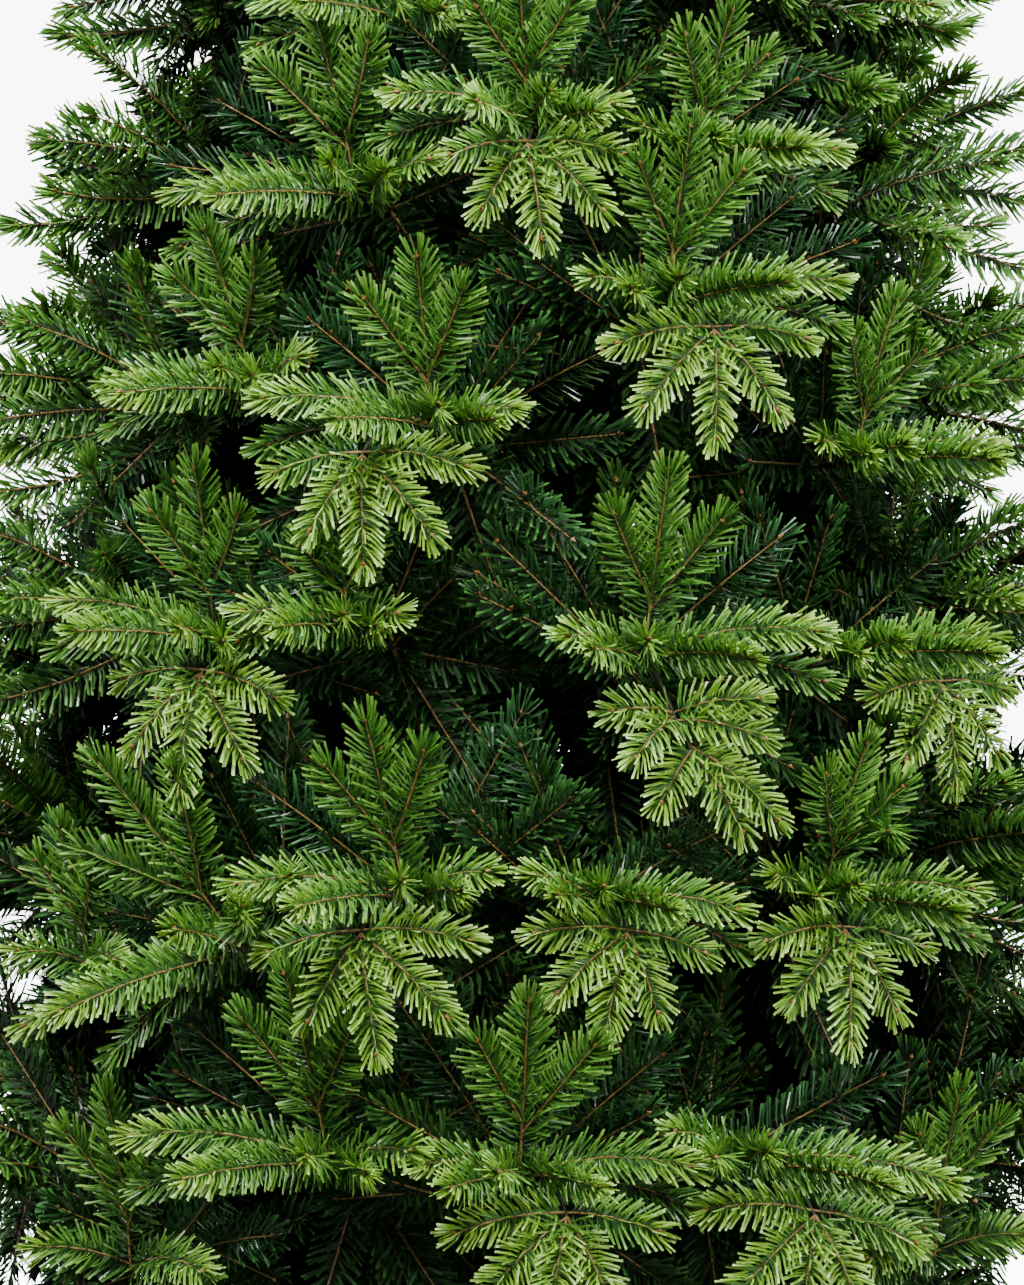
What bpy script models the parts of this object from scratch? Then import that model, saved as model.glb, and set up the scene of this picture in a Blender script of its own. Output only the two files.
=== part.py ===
# An artificial Christmas tree: a steel pole held upright in a four-legged stand, with the moulded
# needle foliage in masses round the pole, tier above tier. Metres, +Z up. The front is at -Y and
# an azimuth counts from there towards +X. The origin is on the floor, on the pole's axis.

import math
import random

import bmesh
import bpy
from mathutils import Vector

# The whole tree
TREE_HEIGHT = 2.10
CROWN_FOOT = 0.17  # height of the lowest needle tips
CROWN_RADIUS = 0.55  # reach of the longest tips
CROWN_POWER = 1.45  # 1 gives a plain cone, and more gives fuller sides
CLEARANCE = 0.0003  # between solids that meet

# The tiers: how many masses stand round the pole, how many branch ends each mass has, and the
# azimuth in degrees of an end near the front
TIERS = (
    (6, 3, 0.0),
    (6, 3, -10.0),
    (5, 3, 11.5),
    (5, 3, -9.0),
    (4, 3, 0.0),
    (4, 3, 15.0),
    (3, 3, -4.0),
    (3, 3, 16.0),
    (3, 2, 0.0),
    (3, 2, 30.0),
    (2, 2, 10.0),
)
LOWEST_TIER = 0.32  # height of the lowest tier's branch ends
TIER_STEP = 0.181  # rise from tier to tier at the foot
TIER_STEP_LOSS = 0.0034  # how much of the rise goes, by the square of the tier's number
END_SHARE = 0.74  # a branch end's radius as a share of the crown's reach
BOUGH_RISE = 0.14  # a bough's rise as a share of its length
FORK_SHARE = 0.22  # where the side boughs leave a mass's main bough, as a share of its length

# Branch ends that stand off their even spacing, by tier and number from the first azimuth, which
# has number 0: degrees along the tier, and metres up
SHIFTED_ENDS = {
    (1, 1): (-2.5, 0.0),
    (1, 2): (-2.5, 0.0),
    (2, 13): (7.0, 0.0),
    (2, 0): (0.0, -0.01),
    (3, 0): (1.5, -0.025),
    (3, 1): (0.0, 0.04),
    (3, 2): (0.0, -0.06),
    (4, -1): (9.0, -0.03),
    (4, 0): (2.0, 0.01),
    (4, 1): (-5.0, 0.0),
}

# Sprays: each solid one stands for several real ones
SPRAY_WIDTH = 0.10
SLIM_SHARE = 0.35  # a spray is no wider than this share of its end's radius
SPRAY_THICKNESS = 0.006
SPRAY_BELLY = 0.4  # how much of the thickness is under the spray's axis
# Each kind of spray: where its tip is in shares of drift, rise and reach, where its root is as a
# share of the bough's length, and the teeth on each side. Only a main bough has the last, inner one
SPRAY_KINDS = (
    (0.0, 1.0, 1.0, 0.66, 2),
    (0.8, -0.85, 1.0, 0.80, 1),
    (-0.8, -0.85, 1.0, 0.90, 1),
    (0.0, -0.9, 0.66, 0.42, 1),
)
SMALL_TIERS = 2  # from this tier up each spray has one tooth a side
SPRAY_NOSE = 0.84  # where the last notch is, as a share of the length
SPRAY_NOTCH = 0.3  # width between the teeth, as a share of the width over them
SPRAY_ROOT = 0.15  # width at the root, as the same share
TOOTH_SLANT = 0.92  # how far along a notch-to-notch length its tooth's tip is
SPRAY_TAPER = 0.25  # how much narrower the spray is towards its tip
SPRAY_DRIFT = 0.44  # how far a tip stands aside, as a share of the ends' spacing
MOST_DRIFT = 0.09  # the same in metres, at most
TIP_SPREAD = 0.1  # how far chance moves a tip, as shares of drift and rise
TIP_REACH = (0.975, 0.998)  # how near the crown's outline chance puts a tip
FOOT_MARGIN = 0.004  # between the lowest tips' middles and the crown's foot
SPRAY_RISES = (0.95, 0.85, 0.75, 0.65, 0.55, 0.45, 0.35, 0.25)  # how far a tip may stand up or
# down, as shares of the step to the next tier, tried until the spray keeps to its mass's space
SPACE_MARGIN = 0.0012  # between a spray and the neighbouring mass's space

# The boughs, each with the dense foliage close along it
STEM_RADIUS = 0.005  # a main bough's, at the collar
CORE_SECTIONS = ((0.36, 0.55), (0.74, 1.0))  # share of the length, share of the half height
CORE_WIDTH = 0.43  # half width at the end, as a share of the ends' spacing
MOST_CORE_WIDTH = 0.25  # the same, at most, as a share of the end's radius
CORE_HEIGHT = 0.068  # half height
MOST_CORE_HEIGHT = 0.20  # the same, at most, as a share of the end's radius
CORE_OVERRUN = 1.12  # how far the core's point is, as a share of the bough's length
ROOT_SHIFT = 0.5  # how far from the bough's axis a spray starts, as a share of the half height

# The leader, the upright shoot at the top
LEADER = "leader"
LEADER_NODE = Vector((0, 0, 1.925))
LEADER_CORE_TOP = 2.01
TOP_SPRAY_ROOT = 1.98
LEADER_SEED = 77
LEADER_RADII = (0.008, 0.005)
LEADER_SPRAY_WIDTH = 0.045
LEADER_SPRAYS = ((1.845, 0.12, 4, 45), (1.90, 0.105, 3, 0), (1.955, 0.08, 3, 60))  # each ring's
# height, length, count and turn in degrees
LEADER_SPRAY_TILT = math.radians(58)
LEADER_SPRAY_SHARES = (1.0, 0.9, 0.8, 0.7, 0.6)  # of the length, tried in turn

# The pole, in three tubes that plug together, with a collar for each tier
POLE_RADII = (0.016, 0.014, 0.011)
POLE_JOINTS = (0.72, 1.30)  # heights where a thinner tube begins
POLE_NECK = 0.004  # height of the cone from one tube's width to the next
POLE_TOP = 1.812
COLLAR_RADIUS = 0.024
COLLAR_HEIGHT = 0.014
POLE_SIDES = 14

# The stand
HUB_RADIUS = 0.0215
HUB_BORE = 0.0172
HUB_SIDES = 18
HUB_FOOT = 0.045
HUB_FLOOR = 0.006
HUB_TOP = 0.205
HUB_RIM_RADIUS = 0.0255
HUB_RIM_HEIGHT = 0.010
LEG_COUNT = 4
LEG_RADIUS = 0.0095
LEG_ROOT_HEIGHT = 0.172
LEG_REACH = 0.300
LEG_SHOULDER = 0.085
LEG_KNEE_HEIGHT = 0.078
LEG_BEND = 0.035
SHOE_RADIUS = 0.0165
SHOE_HEIGHT = 0.034
SHOE_RIM_RADIUS = 0.013
SHOE_FLARE_HEIGHT = 0.015
SHOE_SOLE = 0.008
SHOE_SIDES = 12
SCREW_COUNT = 3
SCREW_HEIGHT = 0.115
SCREW_RADIUS = 0.003
SCREW_HOLE_RADIUS = 0.0034
SCREW_REACH = 0.046
SCREW_SIDES = 10
DRILL_OVERRUN = 0.004
KNOB_RADIUS = 0.011
KNOB_THICKNESS = 0.007
KNOB_EDGE = 0.0022


def place(azimuth, radius, height):
    """The point at this azimuth in radians, radius and height."""
    return Vector((radius * math.sin(azimuth), -radius * math.cos(azimuth), height))


def crown_reach(height):
    """How far the needle tips reach from the pole's axis at this height."""
    down = (TREE_HEIGHT - height) / (TREE_HEIGHT - CROWN_FOOT)
    down = min(max(down, 0.0), 1.0)
    return CROWN_RADIUS * (1 - (1 - down) ** CROWN_POWER)


def tier_height(tier):
    return LOWEST_TIER + TIER_STEP * tier - TIER_STEP_LOSS * tier**2


def collar_height(tier):
    """A bough rises from its collar to its end."""
    height = tier_height(tier)
    return height - BOUGH_RISE * END_SHARE * crown_reach(height)


def branch_ends():
    """Every branch end of the tiers, with the mass that it belongs to."""
    ends = []
    for tier, (masses, ends_each, first) in enumerate(TIERS):
        count = masses * ends_each
        for number in range(-1, count - 1):
            turn, lift = SHIFTED_ENDS.get((tier, number), (0.0, 0.0))
            azimuth = math.radians(first + turn + 360 * number / count)
            height = tier_height(tier) + lift
            ends.append(
                {
                    "tier": tier,
                    "mass": (tier, (number + 1) // ends_each),
                    "azimuth": azimuth,
                    "raised": (number + tier) % 2 == 0,
                    "point": place(azimuth, END_SHARE * crown_reach(height), height),
                    "spacing": math.tau / count,
                }
            )
    top = LEADER_NODE
    ends.append({"tier": len(TIERS), "mass": LEADER, "azimuth": 0.0, "point": top, "spacing": 0})
    return ends


def material(name, colour, roughness, metallic=0.0):
    made = bpy.data.materials.new(name)
    made.use_nodes = True
    shader = made.node_tree.nodes["Principled BSDF"]
    shader.inputs["Base Color"].default_value = (*colour, 1)
    shader.inputs["Roughness"].default_value = roughness
    shader.inputs["Metallic"].default_value = metallic
    made.diffuse_color = (*colour, 1)
    return made


def object_from(name, mesh_data, collection):
    """A mesh object from a bmesh, which is freed."""
    mesh = bpy.data.meshes.new(name)
    mesh_data.to_mesh(mesh)
    mesh_data.free()
    made = bpy.data.objects.new(name, mesh)
    collection.objects.link(made)
    return made


def give(obj, finish):
    obj.data.materials.clear()
    obj.data.materials.append(finish)
    return obj


def evaluated_mesh(obj):
    """The object's mesh with its modifiers applied and its doubled points merged."""
    bpy.context.view_layer.update()
    graph = bpy.context.evaluated_depsgraph_get()
    mesh = bpy.data.meshes.new_from_object(obj.evaluated_get(graph))
    shape = bmesh.new()
    shape.from_mesh(mesh)
    bmesh.ops.remove_doubles(shape, verts=shape.verts, dist=1e-6)
    shape.to_mesh(mesh)
    shape.free()
    return mesh


def turned(name, profile, sides, collection):
    """A solid turned round its own Z axis from (radius, height) points that run top to bottom."""
    mesh = bpy.data.meshes.new(name)
    edges = [(i, i + 1) for i in range(len(profile) - 1)]
    mesh.from_pydata([(radius, 0, height) for radius, height in profile], edges, [])
    made = bpy.data.objects.new(name, mesh)
    collection.objects.link(made)
    screw = made.modifiers.new("Turn", "SCREW")
    screw.steps = sides
    screw.render_steps = sides
    screw.use_merge_vertices = True
    screw.merge_threshold = 1e-5
    screw.use_smooth_shade = True
    return made


def limb(start, end, start_radius, end_radius, sides):
    """A straight tapering limb with flat ends, as a bmesh."""
    axis = end - start
    shape = bmesh.new()
    bmesh.ops.create_cone(
        shape,
        cap_ends=True,
        segments=sides,
        radius1=start_radius,
        radius2=end_radius,
        depth=axis.length,
    )
    turn = axis.to_track_quat("Z", "Y").to_matrix().to_4x4()
    turn.translation = (start + end) / 2
    shape.transform(turn)
    return shape


def bough_core(start, end, sections, root_radius=0.0):
    """A bough with the dense foliage close along it, as a bmesh. It swells through the sections,
    which are (share of the length, half width, half height), to a point at its end. It starts in a
    point that is sunk in another bough, or with an upright flat root."""
    axis = end - start
    level = Vector((axis.x, axis.y, 0))
    rings = [(axis, *section) for section in sections]
    if root_radius:
        rings.insert(0, (level, 0.0, root_radius, root_radius))
    shape = bmesh.new()
    corners = []
    for facing, share, wide, tall in rings:
        turn = facing.to_track_quat("Y", "Z")
        spokes = ((wide, 0, 0), (0, 0, tall), (-wide, 0, 0), (0, 0, -tall))
        corners.append([shape.verts.new(start + axis * share + turn @ Vector(spoke)) for spoke in spokes])
    nose = shape.verts.new(end)
    tail = None if root_radius else shape.verts.new(start)
    for side in range(4):
        after = (side + 1) % 4
        if tail:
            shape.faces.new((tail, corners[0][after], corners[0][side]))
        for lower, upper in zip(corners, corners[1:]):
            shape.faces.new((lower[side], lower[after], upper[after], upper[side]))
        shape.faces.new((nose, corners[-1][side], corners[-1][after]))
    if not tail:
        shape.faces.new(corners[0][::-1])
    bmesh.ops.recalc_face_normals(shape, faces=shape.faces)
    return shape


def spray(root, tip, across, width, teeth):
    """A spray of needles as a toothed blade with a ridge along its upper side, as a bmesh."""
    axis = tip - root
    length = axis.length
    along = axis.normalized()
    across = across.normalized()
    up = along.cross(across).normalized() * SPRAY_THICKNESS
    half = width / 2
    shape = bmesh.new()

    def point(forward, side, raised=0.0):
        height = raised - SPRAY_BELLY
        return shape.verts.new(root + along * (forward * length) + across * side + up * height)

    notches = [SPRAY_NOSE * i / teeth for i in range(teeth + 1)]
    ridge = [point(share, 0, 1.0) for share in notches]
    edges = {}
    for side in (-1, 1):
        line = []
        for i, share in enumerate(notches):
            line.append(point(share, side * half * (SPRAY_NOTCH if i else SPRAY_ROOT)))
            if i < teeth:
                tooth = share + TOOTH_SLANT * (notches[i + 1] - share)
                line.append(point(tooth, side * half * (1 - SPRAY_TAPER * share)))
        edges[side] = line
    nose = point(1.0, 0)
    for side, line in edges.items():
        for i in range(teeth):
            notch, tooth, after = line[2 * i], line[2 * i + 1], line[2 * i + 2]
            shape.faces.new((ridge[i], notch, tooth))
            shape.faces.new((ridge[i], tooth, ridge[i + 1]))
            shape.faces.new((ridge[i + 1], tooth, after))
        shape.faces.new((ridge[-1], line[-1], nose))
    shape.faces.new((ridge[0], edges[-1][0], edges[1][0]))
    shape.faces.new(edges[-1] + [nose] + edges[1][::-1])
    bmesh.ops.recalc_face_normals(shape, faces=shape.faces)
    return shape


def keeps_to_space(shape, own, others):
    """Whether the shape is inside the crown and nearer its own branch end than any other mass's."""
    for vert in shape.verts:
        radius = math.hypot(vert.co.x, vert.co.y)
        if radius > crown_reach(vert.co.z) + 1e-5 or not CROWN_FOOT <= vert.co.z <= TREE_HEIGHT:
            return False
        for other in others:
            apart = other - own
            if (vert.co - (own + other) / 2).dot(apart) > -SPACE_MARGIN * apart.length:
                return False
    return True


def fitting_spray(root, tips, across, width, teeth, own, others):
    """A spray to the first of the tips that lets it keep to its mass's space, or None."""
    for tip in tips:
        blade = spray(root, tip, across, width, teeth)
        if keeps_to_space(blade, own, others):
            return blade
        blade.free()
    return None


def sprays_of(end, fork, kinds, core_height, chance):
    """The root, the tips to try, the direction across and the teeth, for each spray of an end."""
    sideways = place(end["azimuth"] + math.pi / 2, 1, 0)
    radius = math.hypot(end["point"].x, end["point"].y)
    height = end["point"].z
    drift = min(SPRAY_DRIFT * end["spacing"], MOST_DRIFT / radius)
    to_next = tier_height(end["tier"] + 1) - height
    to_last = height - tier_height(end["tier"] - 1)
    flip = 1 if end["raised"] else -1
    for aside, above, outward, root_share, teeth in kinds:
        aside = flip * aside + chance.uniform(-TIP_SPREAD, TIP_SPREAD)
        above = flip * above + chance.uniform(-TIP_SPREAD, TIP_SPREAD)
        step = (to_next if above > 0 else to_last) * above
        outward *= chance.uniform(*TIP_REACH)
        tips = []
        for rise in SPRAY_RISES:
            tip_height = max(height + rise * step, CROWN_FOOT + FOOT_MARGIN)
            turn = end["azimuth"] + aside * drift
            tips.append(place(turn, outward * crown_reach(tip_height), tip_height))
        root = fork.lerp(end["point"], root_share)
        root.z += above * core_height * ROOT_SHIFT
        teeth = teeth if end["tier"] < SMALL_TIERS else 1
        yield root, tips, Vector((0, 0, aside)) - sideways * above, teeth


def joined(name, pieces, collection, finish):
    """One solid from overlapping bmesh pieces, by a Boolean union on a collection of them."""
    loose = bpy.data.collections.new(name + "_pieces")
    bpy.context.scene.collection.children.link(loose)
    base = object_from(name, pieces[0], collection)
    for number, piece in enumerate(pieces[1:]):
        object_from(f"{name}_piece_{number}", piece, loose)
    union = base.modifiers.new("Join", "BOOLEAN")
    union.operation = "UNION"
    union.operand_type = "COLLECTION"
    union.collection = loose
    union.solver = "MANIFOLD"
    mesh = evaluated_mesh(base)
    base.modifiers.remove(union)
    spare = base.data
    base.data = mesh
    bpy.data.meshes.remove(spare)
    for piece in list(loose.objects):
        bpy.data.objects.remove(piece)
    bpy.data.collections.remove(loose)
    return give(base, finish)


def foliage_mass(mass, ends, others, collection, finish):
    """A bough from the collar with a side bough for each further end, and the sprays on them."""
    tier, number = mass
    chance = random.Random(1000 * tier + number)
    main = ends[len(ends) // 2]
    root = place(main["azimuth"], COLLAR_RADIUS + CLEARANCE, collar_height(tier))
    fork = root.lerp(main["point"], FORK_SHARE)
    pieces = []
    for end in [main] + [other for other in ends if other is not main]:
        start = root if end is main else fork
        radius = math.hypot(end["point"].x, end["point"].y)
        nose = start.lerp(end["point"], CORE_OVERRUN)
        core_height = min(CORE_HEIGHT, MOST_CORE_HEIGHT * radius)
        core_width = min(CORE_WIDTH * end["spacing"], MOST_CORE_WIDTH) * radius
        sections = [(share, core_width * share, core_height * swell) for share, swell in CORE_SECTIONS]
        pieces.append(bough_core(start, nose, sections, STEM_RADIUS if end is main else 0.0))
        wide = min(SPRAY_WIDTH, SLIM_SHARE * radius)
        kinds = SPRAY_KINDS if end is main else SPRAY_KINDS[:3]
        for spray_root, tips, across, teeth in sprays_of(end, fork, kinds, core_height, chance):
            blade = fitting_spray(spray_root, tips, across, wide, teeth, end["point"], others)
            if blade:
                pieces.append(blade)
    return joined(f"foliage_tier{tier + 1:02d}_{number + 1}", pieces, collection, finish)


def leader_mass(others, collection, finish):
    """The upright shoot at the top, on the pole's end, with its side sprays."""
    chance = random.Random(LEADER_SEED)
    foot = Vector((0, 0, POLE_TOP + CLEARANCE))
    top = Vector((0, 0, TREE_HEIGHT))
    pieces = [limb(foot, Vector((0, 0, LEADER_CORE_TOP)), *LEADER_RADII, 5)]
    for angle in (0, math.pi / 2):
        root = Vector((0, 0, TOP_SPRAY_ROOT))
        pieces.append(spray(root, top, place(angle, 1, 0), LEADER_SPRAY_WIDTH, 2))
    for height, length, count, turn in LEADER_SPRAYS:
        for number in range(count):
            azimuth = math.radians(turn + 360 * number / count + chance.uniform(-6, 6))
            root = Vector((0, 0, height))
            run = place(azimuth, math.cos(LEADER_SPRAY_TILT), math.sin(LEADER_SPRAY_TILT))
            across = place(azimuth + math.pi / 2, 1, 0)
            tips = [root + run * length * share for share in LEADER_SPRAY_SHARES]
            blade = fitting_spray(root, tips, across, LEADER_SPRAY_WIDTH, 1, LEADER_NODE, others)
            if blade:
                pieces.append(blade)
    return joined("foliage_leader", pieces, collection, finish)


def pole(collection, finish):
    """The trunk: three tubes of falling width, closed at the top, with a welded collar for each tier."""
    profile = [(0.0, POLE_TOP), (POLE_RADII[-1], POLE_TOP)]
    marks = [(height, POLE_RADII[i]) for i, height in enumerate(POLE_JOINTS)]
    marks += [(collar_height(tier), None) for tier in range(len(TIERS))]
    radius = POLE_RADII[-1]
    for height, wider in sorted(marks, key=lambda mark: -mark[0]):
        if wider is None:
            profile += [
                (radius, height + COLLAR_HEIGHT / 2),
                (COLLAR_RADIUS, height + COLLAR_HEIGHT / 2),
                (COLLAR_RADIUS, height - COLLAR_HEIGHT / 2),
                (radius, height - COLLAR_HEIGHT / 2),
            ]
        else:
            profile.append((radius, height))
            radius = wider
            profile.append((radius, height - POLE_NECK))
    foot = HUB_FOOT + HUB_FLOOR + CLEARANCE
    profile += [(radius, foot), (0.0, foot)]
    return give(turned("trunk_pole", profile, POLE_SIDES, collection), finish)


def hub(collection, cutters, finish):
    """The socket that the pole stands in, with a rim at each end and three screw holes."""
    rim_foot = HUB_FOOT + HUB_RIM_HEIGHT
    profile = [
        (0.0, HUB_FOOT + HUB_FLOOR),
        (HUB_BORE, HUB_FOOT + HUB_FLOOR),
        (HUB_BORE, HUB_TOP),
        (HUB_RIM_RADIUS, HUB_TOP),
        (HUB_RIM_RADIUS, HUB_TOP - HUB_RIM_HEIGHT),
        (HUB_RADIUS, HUB_TOP - HUB_RIM_HEIGHT),
        (HUB_RADIUS, rim_foot),
        (HUB_RIM_RADIUS, rim_foot),
        (HUB_RIM_RADIUS, HUB_FOOT),
        (0.0, HUB_FOOT),
    ]
    made = turned("stand_hub", profile, HUB_SIDES, collection)
    for number in range(SCREW_COUNT):
        azimuth = screw_azimuth(number)
        drill = limb(
            place(azimuth, HUB_BORE - DRILL_OVERRUN, SCREW_HEIGHT),
            place(azimuth, HUB_RADIUS + DRILL_OVERRUN, SCREW_HEIGHT),
            SCREW_HOLE_RADIUS,
            SCREW_HOLE_RADIUS,
            SCREW_SIDES,
        )
        cutter = object_from(f"screw_drill_{number + 1}", drill, cutters)
        cutter.hide_render = True
        cutter.display_type = "WIRE"
        cut = made.modifiers.new(f"Screw hole {number + 1}", "BOOLEAN")
        cut.operation = "DIFFERENCE"
        cut.object = cutter
    return give(made, finish)


def screw_azimuth(number):
    return math.radians(90 + 360 * number / SCREW_COUNT)


def screw(number, collection, finish):
    """A clamping screw with a round knob, its end against the pole."""
    start = POLE_RADII[0] + CLEARANCE
    profile = [
        (0.0, SCREW_REACH + KNOB_THICKNESS),
        (KNOB_RADIUS - KNOB_EDGE, SCREW_REACH + KNOB_THICKNESS),
        (KNOB_RADIUS, SCREW_REACH + KNOB_THICKNESS - KNOB_EDGE),
        (KNOB_RADIUS, SCREW_REACH + KNOB_EDGE),
        (KNOB_RADIUS - KNOB_EDGE, SCREW_REACH),
        (SCREW_RADIUS, SCREW_REACH),
        (SCREW_RADIUS, start),
        (0.0, start),
    ]
    made = turned(f"stand_screw_{number + 1}", profile, SCREW_SIDES, collection)
    outward = place(screw_azimuth(number), 1, 0)
    made.rotation_mode = "QUATERNION"
    made.rotation_quaternion = outward.to_track_quat("Z", "Y")
    made.location = (0, 0, SCREW_HEIGHT)
    return give(made, finish)


def leg_azimuth(number):
    return math.radians(45 + 360 * number / LEG_COUNT)


def leg_route():
    """The leg's centreline as (radius, height) points, from the hub over its shoulder to the shoe."""
    corners = [
        (HUB_RADIUS + CLEARANCE, LEG_ROOT_HEIGHT),
        (LEG_SHOULDER, LEG_ROOT_HEIGHT),
        (LEG_REACH, LEG_KNEE_HEIGHT),
        (LEG_REACH, SHOE_SOLE + CLEARANCE),
    ]
    route = [Vector(corners[0])]
    for before, corner, after in zip(corners, corners[1:], corners[2:]):
        corner = Vector(corner)
        back = (Vector(before) - corner).normalized() * LEG_BEND
        ahead = (Vector(after) - corner).normalized() * LEG_BEND
        for share in (0.0, 0.5, 1.0):
            route.append(corner + back * (1 - share) ** 2 + ahead * share**2)
    route.append(Vector(corners[-1]))
    return route


def leg(number, collection, finish):
    """A bent steel tube from the hub to its shoe."""
    curve = bpy.data.curves.new(f"stand_leg_{number + 1}", "CURVE")
    curve.dimensions = "3D"
    curve.bevel_depth = LEG_RADIUS
    curve.bevel_resolution = 2
    curve.use_fill_caps = True
    route = leg_route()
    spline = curve.splines.new("POLY")
    spline.points.add(len(route) - 1)
    for point, (radius, height) in zip(spline.points, route):
        point.co = (*place(leg_azimuth(number), radius, height), 1)
        point.radius = 1.0
    made = bpy.data.objects.new(f"stand_leg_{number + 1}", curve)
    collection.objects.link(made)
    return give(made, finish)


def shoe(number, collection, finish):
    """The rubber shoe on a leg's end, with a flat sole and a bore for the tube."""
    bore = (LEG_RADIUS + CLEARANCE) / math.cos(math.pi / SHOE_SIDES)
    profile = [
        (0.0, SHOE_SOLE),
        (bore, SHOE_SOLE),
        (bore, SHOE_HEIGHT),
        (SHOE_RIM_RADIUS, SHOE_HEIGHT),
        (SHOE_RADIUS, SHOE_FLARE_HEIGHT),
        (SHOE_RADIUS, 0.0),
        (0.0, 0.0),
    ]
    made = turned(f"stand_shoe_{number + 1}", profile, SHOE_SIDES, collection)
    made.location = place(leg_azimuth(number), LEG_REACH, 0)
    return give(made, finish)


def main():
    for obj in list(bpy.data.objects):
        bpy.data.objects.remove(obj)
    tree = bpy.data.collections.new("christmas_tree")
    cutters = bpy.data.collections.new("cutters")
    for collection in (tree, cutters):
        bpy.context.scene.collection.children.link(collection)

    needle_green = material("moulded needles", (0.075, 0.19, 0.04), 0.45)
    steel_green = material("green painted steel", (0.02, 0.055, 0.03), 0.4)
    rubber_black = material("black rubber", (0.02, 0.02, 0.02), 0.8)
    zinc = material("zinc plated steel", (0.6, 0.6, 0.58), 0.35, 1.0)

    pole(tree, steel_green)
    hub(tree, cutters, steel_green)
    for number in range(LEG_COUNT):
        leg(number, tree, steel_green)
        shoe(number, tree, rubber_black)
    for number in range(SCREW_COUNT):
        screw(number, tree, zinc)

    ends = branch_ends()
    for mass in sorted({end["mass"] for end in ends if end["mass"] != LEADER}):
        own = [end for end in ends if end["mass"] == mass]
        others = [end["point"] for end in ends if end["mass"] != mass]
        foliage_mass(mass, own, others, tree, needle_green)
    leader_mass([end["point"] for end in ends if end["mass"] != LEADER], tree, needle_green)


main()
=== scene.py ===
import math
import random

import bpy
import numpy as np
from mathutils import Matrix, Vector


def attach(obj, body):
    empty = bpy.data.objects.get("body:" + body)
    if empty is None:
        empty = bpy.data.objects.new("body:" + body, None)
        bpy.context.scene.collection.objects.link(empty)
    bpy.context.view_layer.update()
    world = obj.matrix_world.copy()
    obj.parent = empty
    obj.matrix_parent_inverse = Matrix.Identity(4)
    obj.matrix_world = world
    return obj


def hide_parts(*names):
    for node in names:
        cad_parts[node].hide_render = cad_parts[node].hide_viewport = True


# An artificial Christmas tree. The masses of the frame are regrown here, needle by needle, by the
# rule that made them: branch ends stand in tiers round a pole, and each carries a fan of sprays.

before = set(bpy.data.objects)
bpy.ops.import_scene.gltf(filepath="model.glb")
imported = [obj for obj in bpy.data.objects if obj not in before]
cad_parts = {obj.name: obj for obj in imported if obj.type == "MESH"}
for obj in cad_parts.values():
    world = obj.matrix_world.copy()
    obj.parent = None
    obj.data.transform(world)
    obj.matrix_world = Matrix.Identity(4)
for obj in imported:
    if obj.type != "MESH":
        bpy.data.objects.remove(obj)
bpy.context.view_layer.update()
print("frame loaded")


def newObject(name, data):
    made = bpy.data.objects.new(name, data)
    bpy.context.collection.objects.link(made)
    return made


# The camera looks level along +Y at the middle of the crown, from as far as a product shot is taken
camera = {"distance": 3.2, "height": 0.66, "focalPixels": 4320, "framePixels": 1285, "sensor": 36.0}


def makeCamera():
    data = bpy.data.cameras.new("camera")
    data.sensor_width = camera["sensor"]
    data.lens = camera["sensor"] * camera["focalPixels"] / camera["framePixels"]
    made = newObject("camera", data)
    made.location = (0, -camera["distance"], camera["height"])
    made.rotation_euler = (math.pi / 2, 0, 0)
    bpy.context.scene.camera = made


makeCamera()


# The rule of the crown, as in the part's source. Azimuth 0 faces the camera and grows towards +X
crown = {
    "height": 2.10,
    "foot": 0.17,
    "radius": 0.55,
    "power": 1.45,
    "endShare": 0.74,
    "boughRise": 0.14,
    "forkShare": 0.22,
    "lowestTier": 0.32,
    "tierStep": 0.181,
    "tierStepLoss": 0.0034,
    "collarRadius": 0.024,
    "clearance": 0.0003,
    "slack": 0.045,  # how far a spray may lean into the next mass's space
    "needleMargin": 0.012,  # how far a twig's end may pass the crown's outline
    "footMargin": 0.004,  # and the crown's foot
}

# masses, branch ends in each, and the azimuth of end 0 in degrees
tiers = [(6, 3, 0.0), (6, 3, -10.0), (5, 3, 11.5), (5, 3, -9.0), (4, 3, 0.0), (4, 3, 15.0), (3, 3, -4.0),
         (3, 3, 16.0), (3, 2, 0.0), (3, 2, 30.0), (2, 2, 10.0)]

# branch ends that someone has bent out of their even places: degrees aside, and metres up
shiftedEnds = {
    (1, 1): (-2.5, 0.0), (1, 2): (-2.5, 0.0), (2, 13): (7.0, 0.0), (2, 0): (0.0, -0.01),
    (3, 0): (1.5, -0.025), (3, 1): (0.0, 0.04), (3, 2): (0.0, -0.06), (4, -1): (9.0, -0.03),
    (4, 0): (2.0, 0.01), (4, 1): (-5.0, 0.0),
}


def place(azimuth, radius, height):
    return Vector((radius * math.sin(azimuth), -radius * math.cos(azimuth), height))


def axesOf(end):
    return place(end["azimuth"], 1, 0), place(end["azimuth"] + math.pi / 2, 1, 0)


def crownReach(height):
    down = (crown["height"] - height) / (crown["height"] - crown["foot"])
    down = min(max(down, 0.0), 1.0)
    return crown["radius"] * (1 - (1 - down) ** crown["power"])


def tierHeight(tier):
    return crown["lowestTier"] + crown["tierStep"] * tier - crown["tierStepLoss"] * tier**2


def collarHeight(tier):
    height = tierHeight(tier)
    return height - crown["boughRise"] * crown["endShare"] * crownReach(height)


def boughRoot(end):
    return place(end["azimuth"], crown["collarRadius"] + crown["clearance"], collarHeight(end["tier"]))


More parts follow.
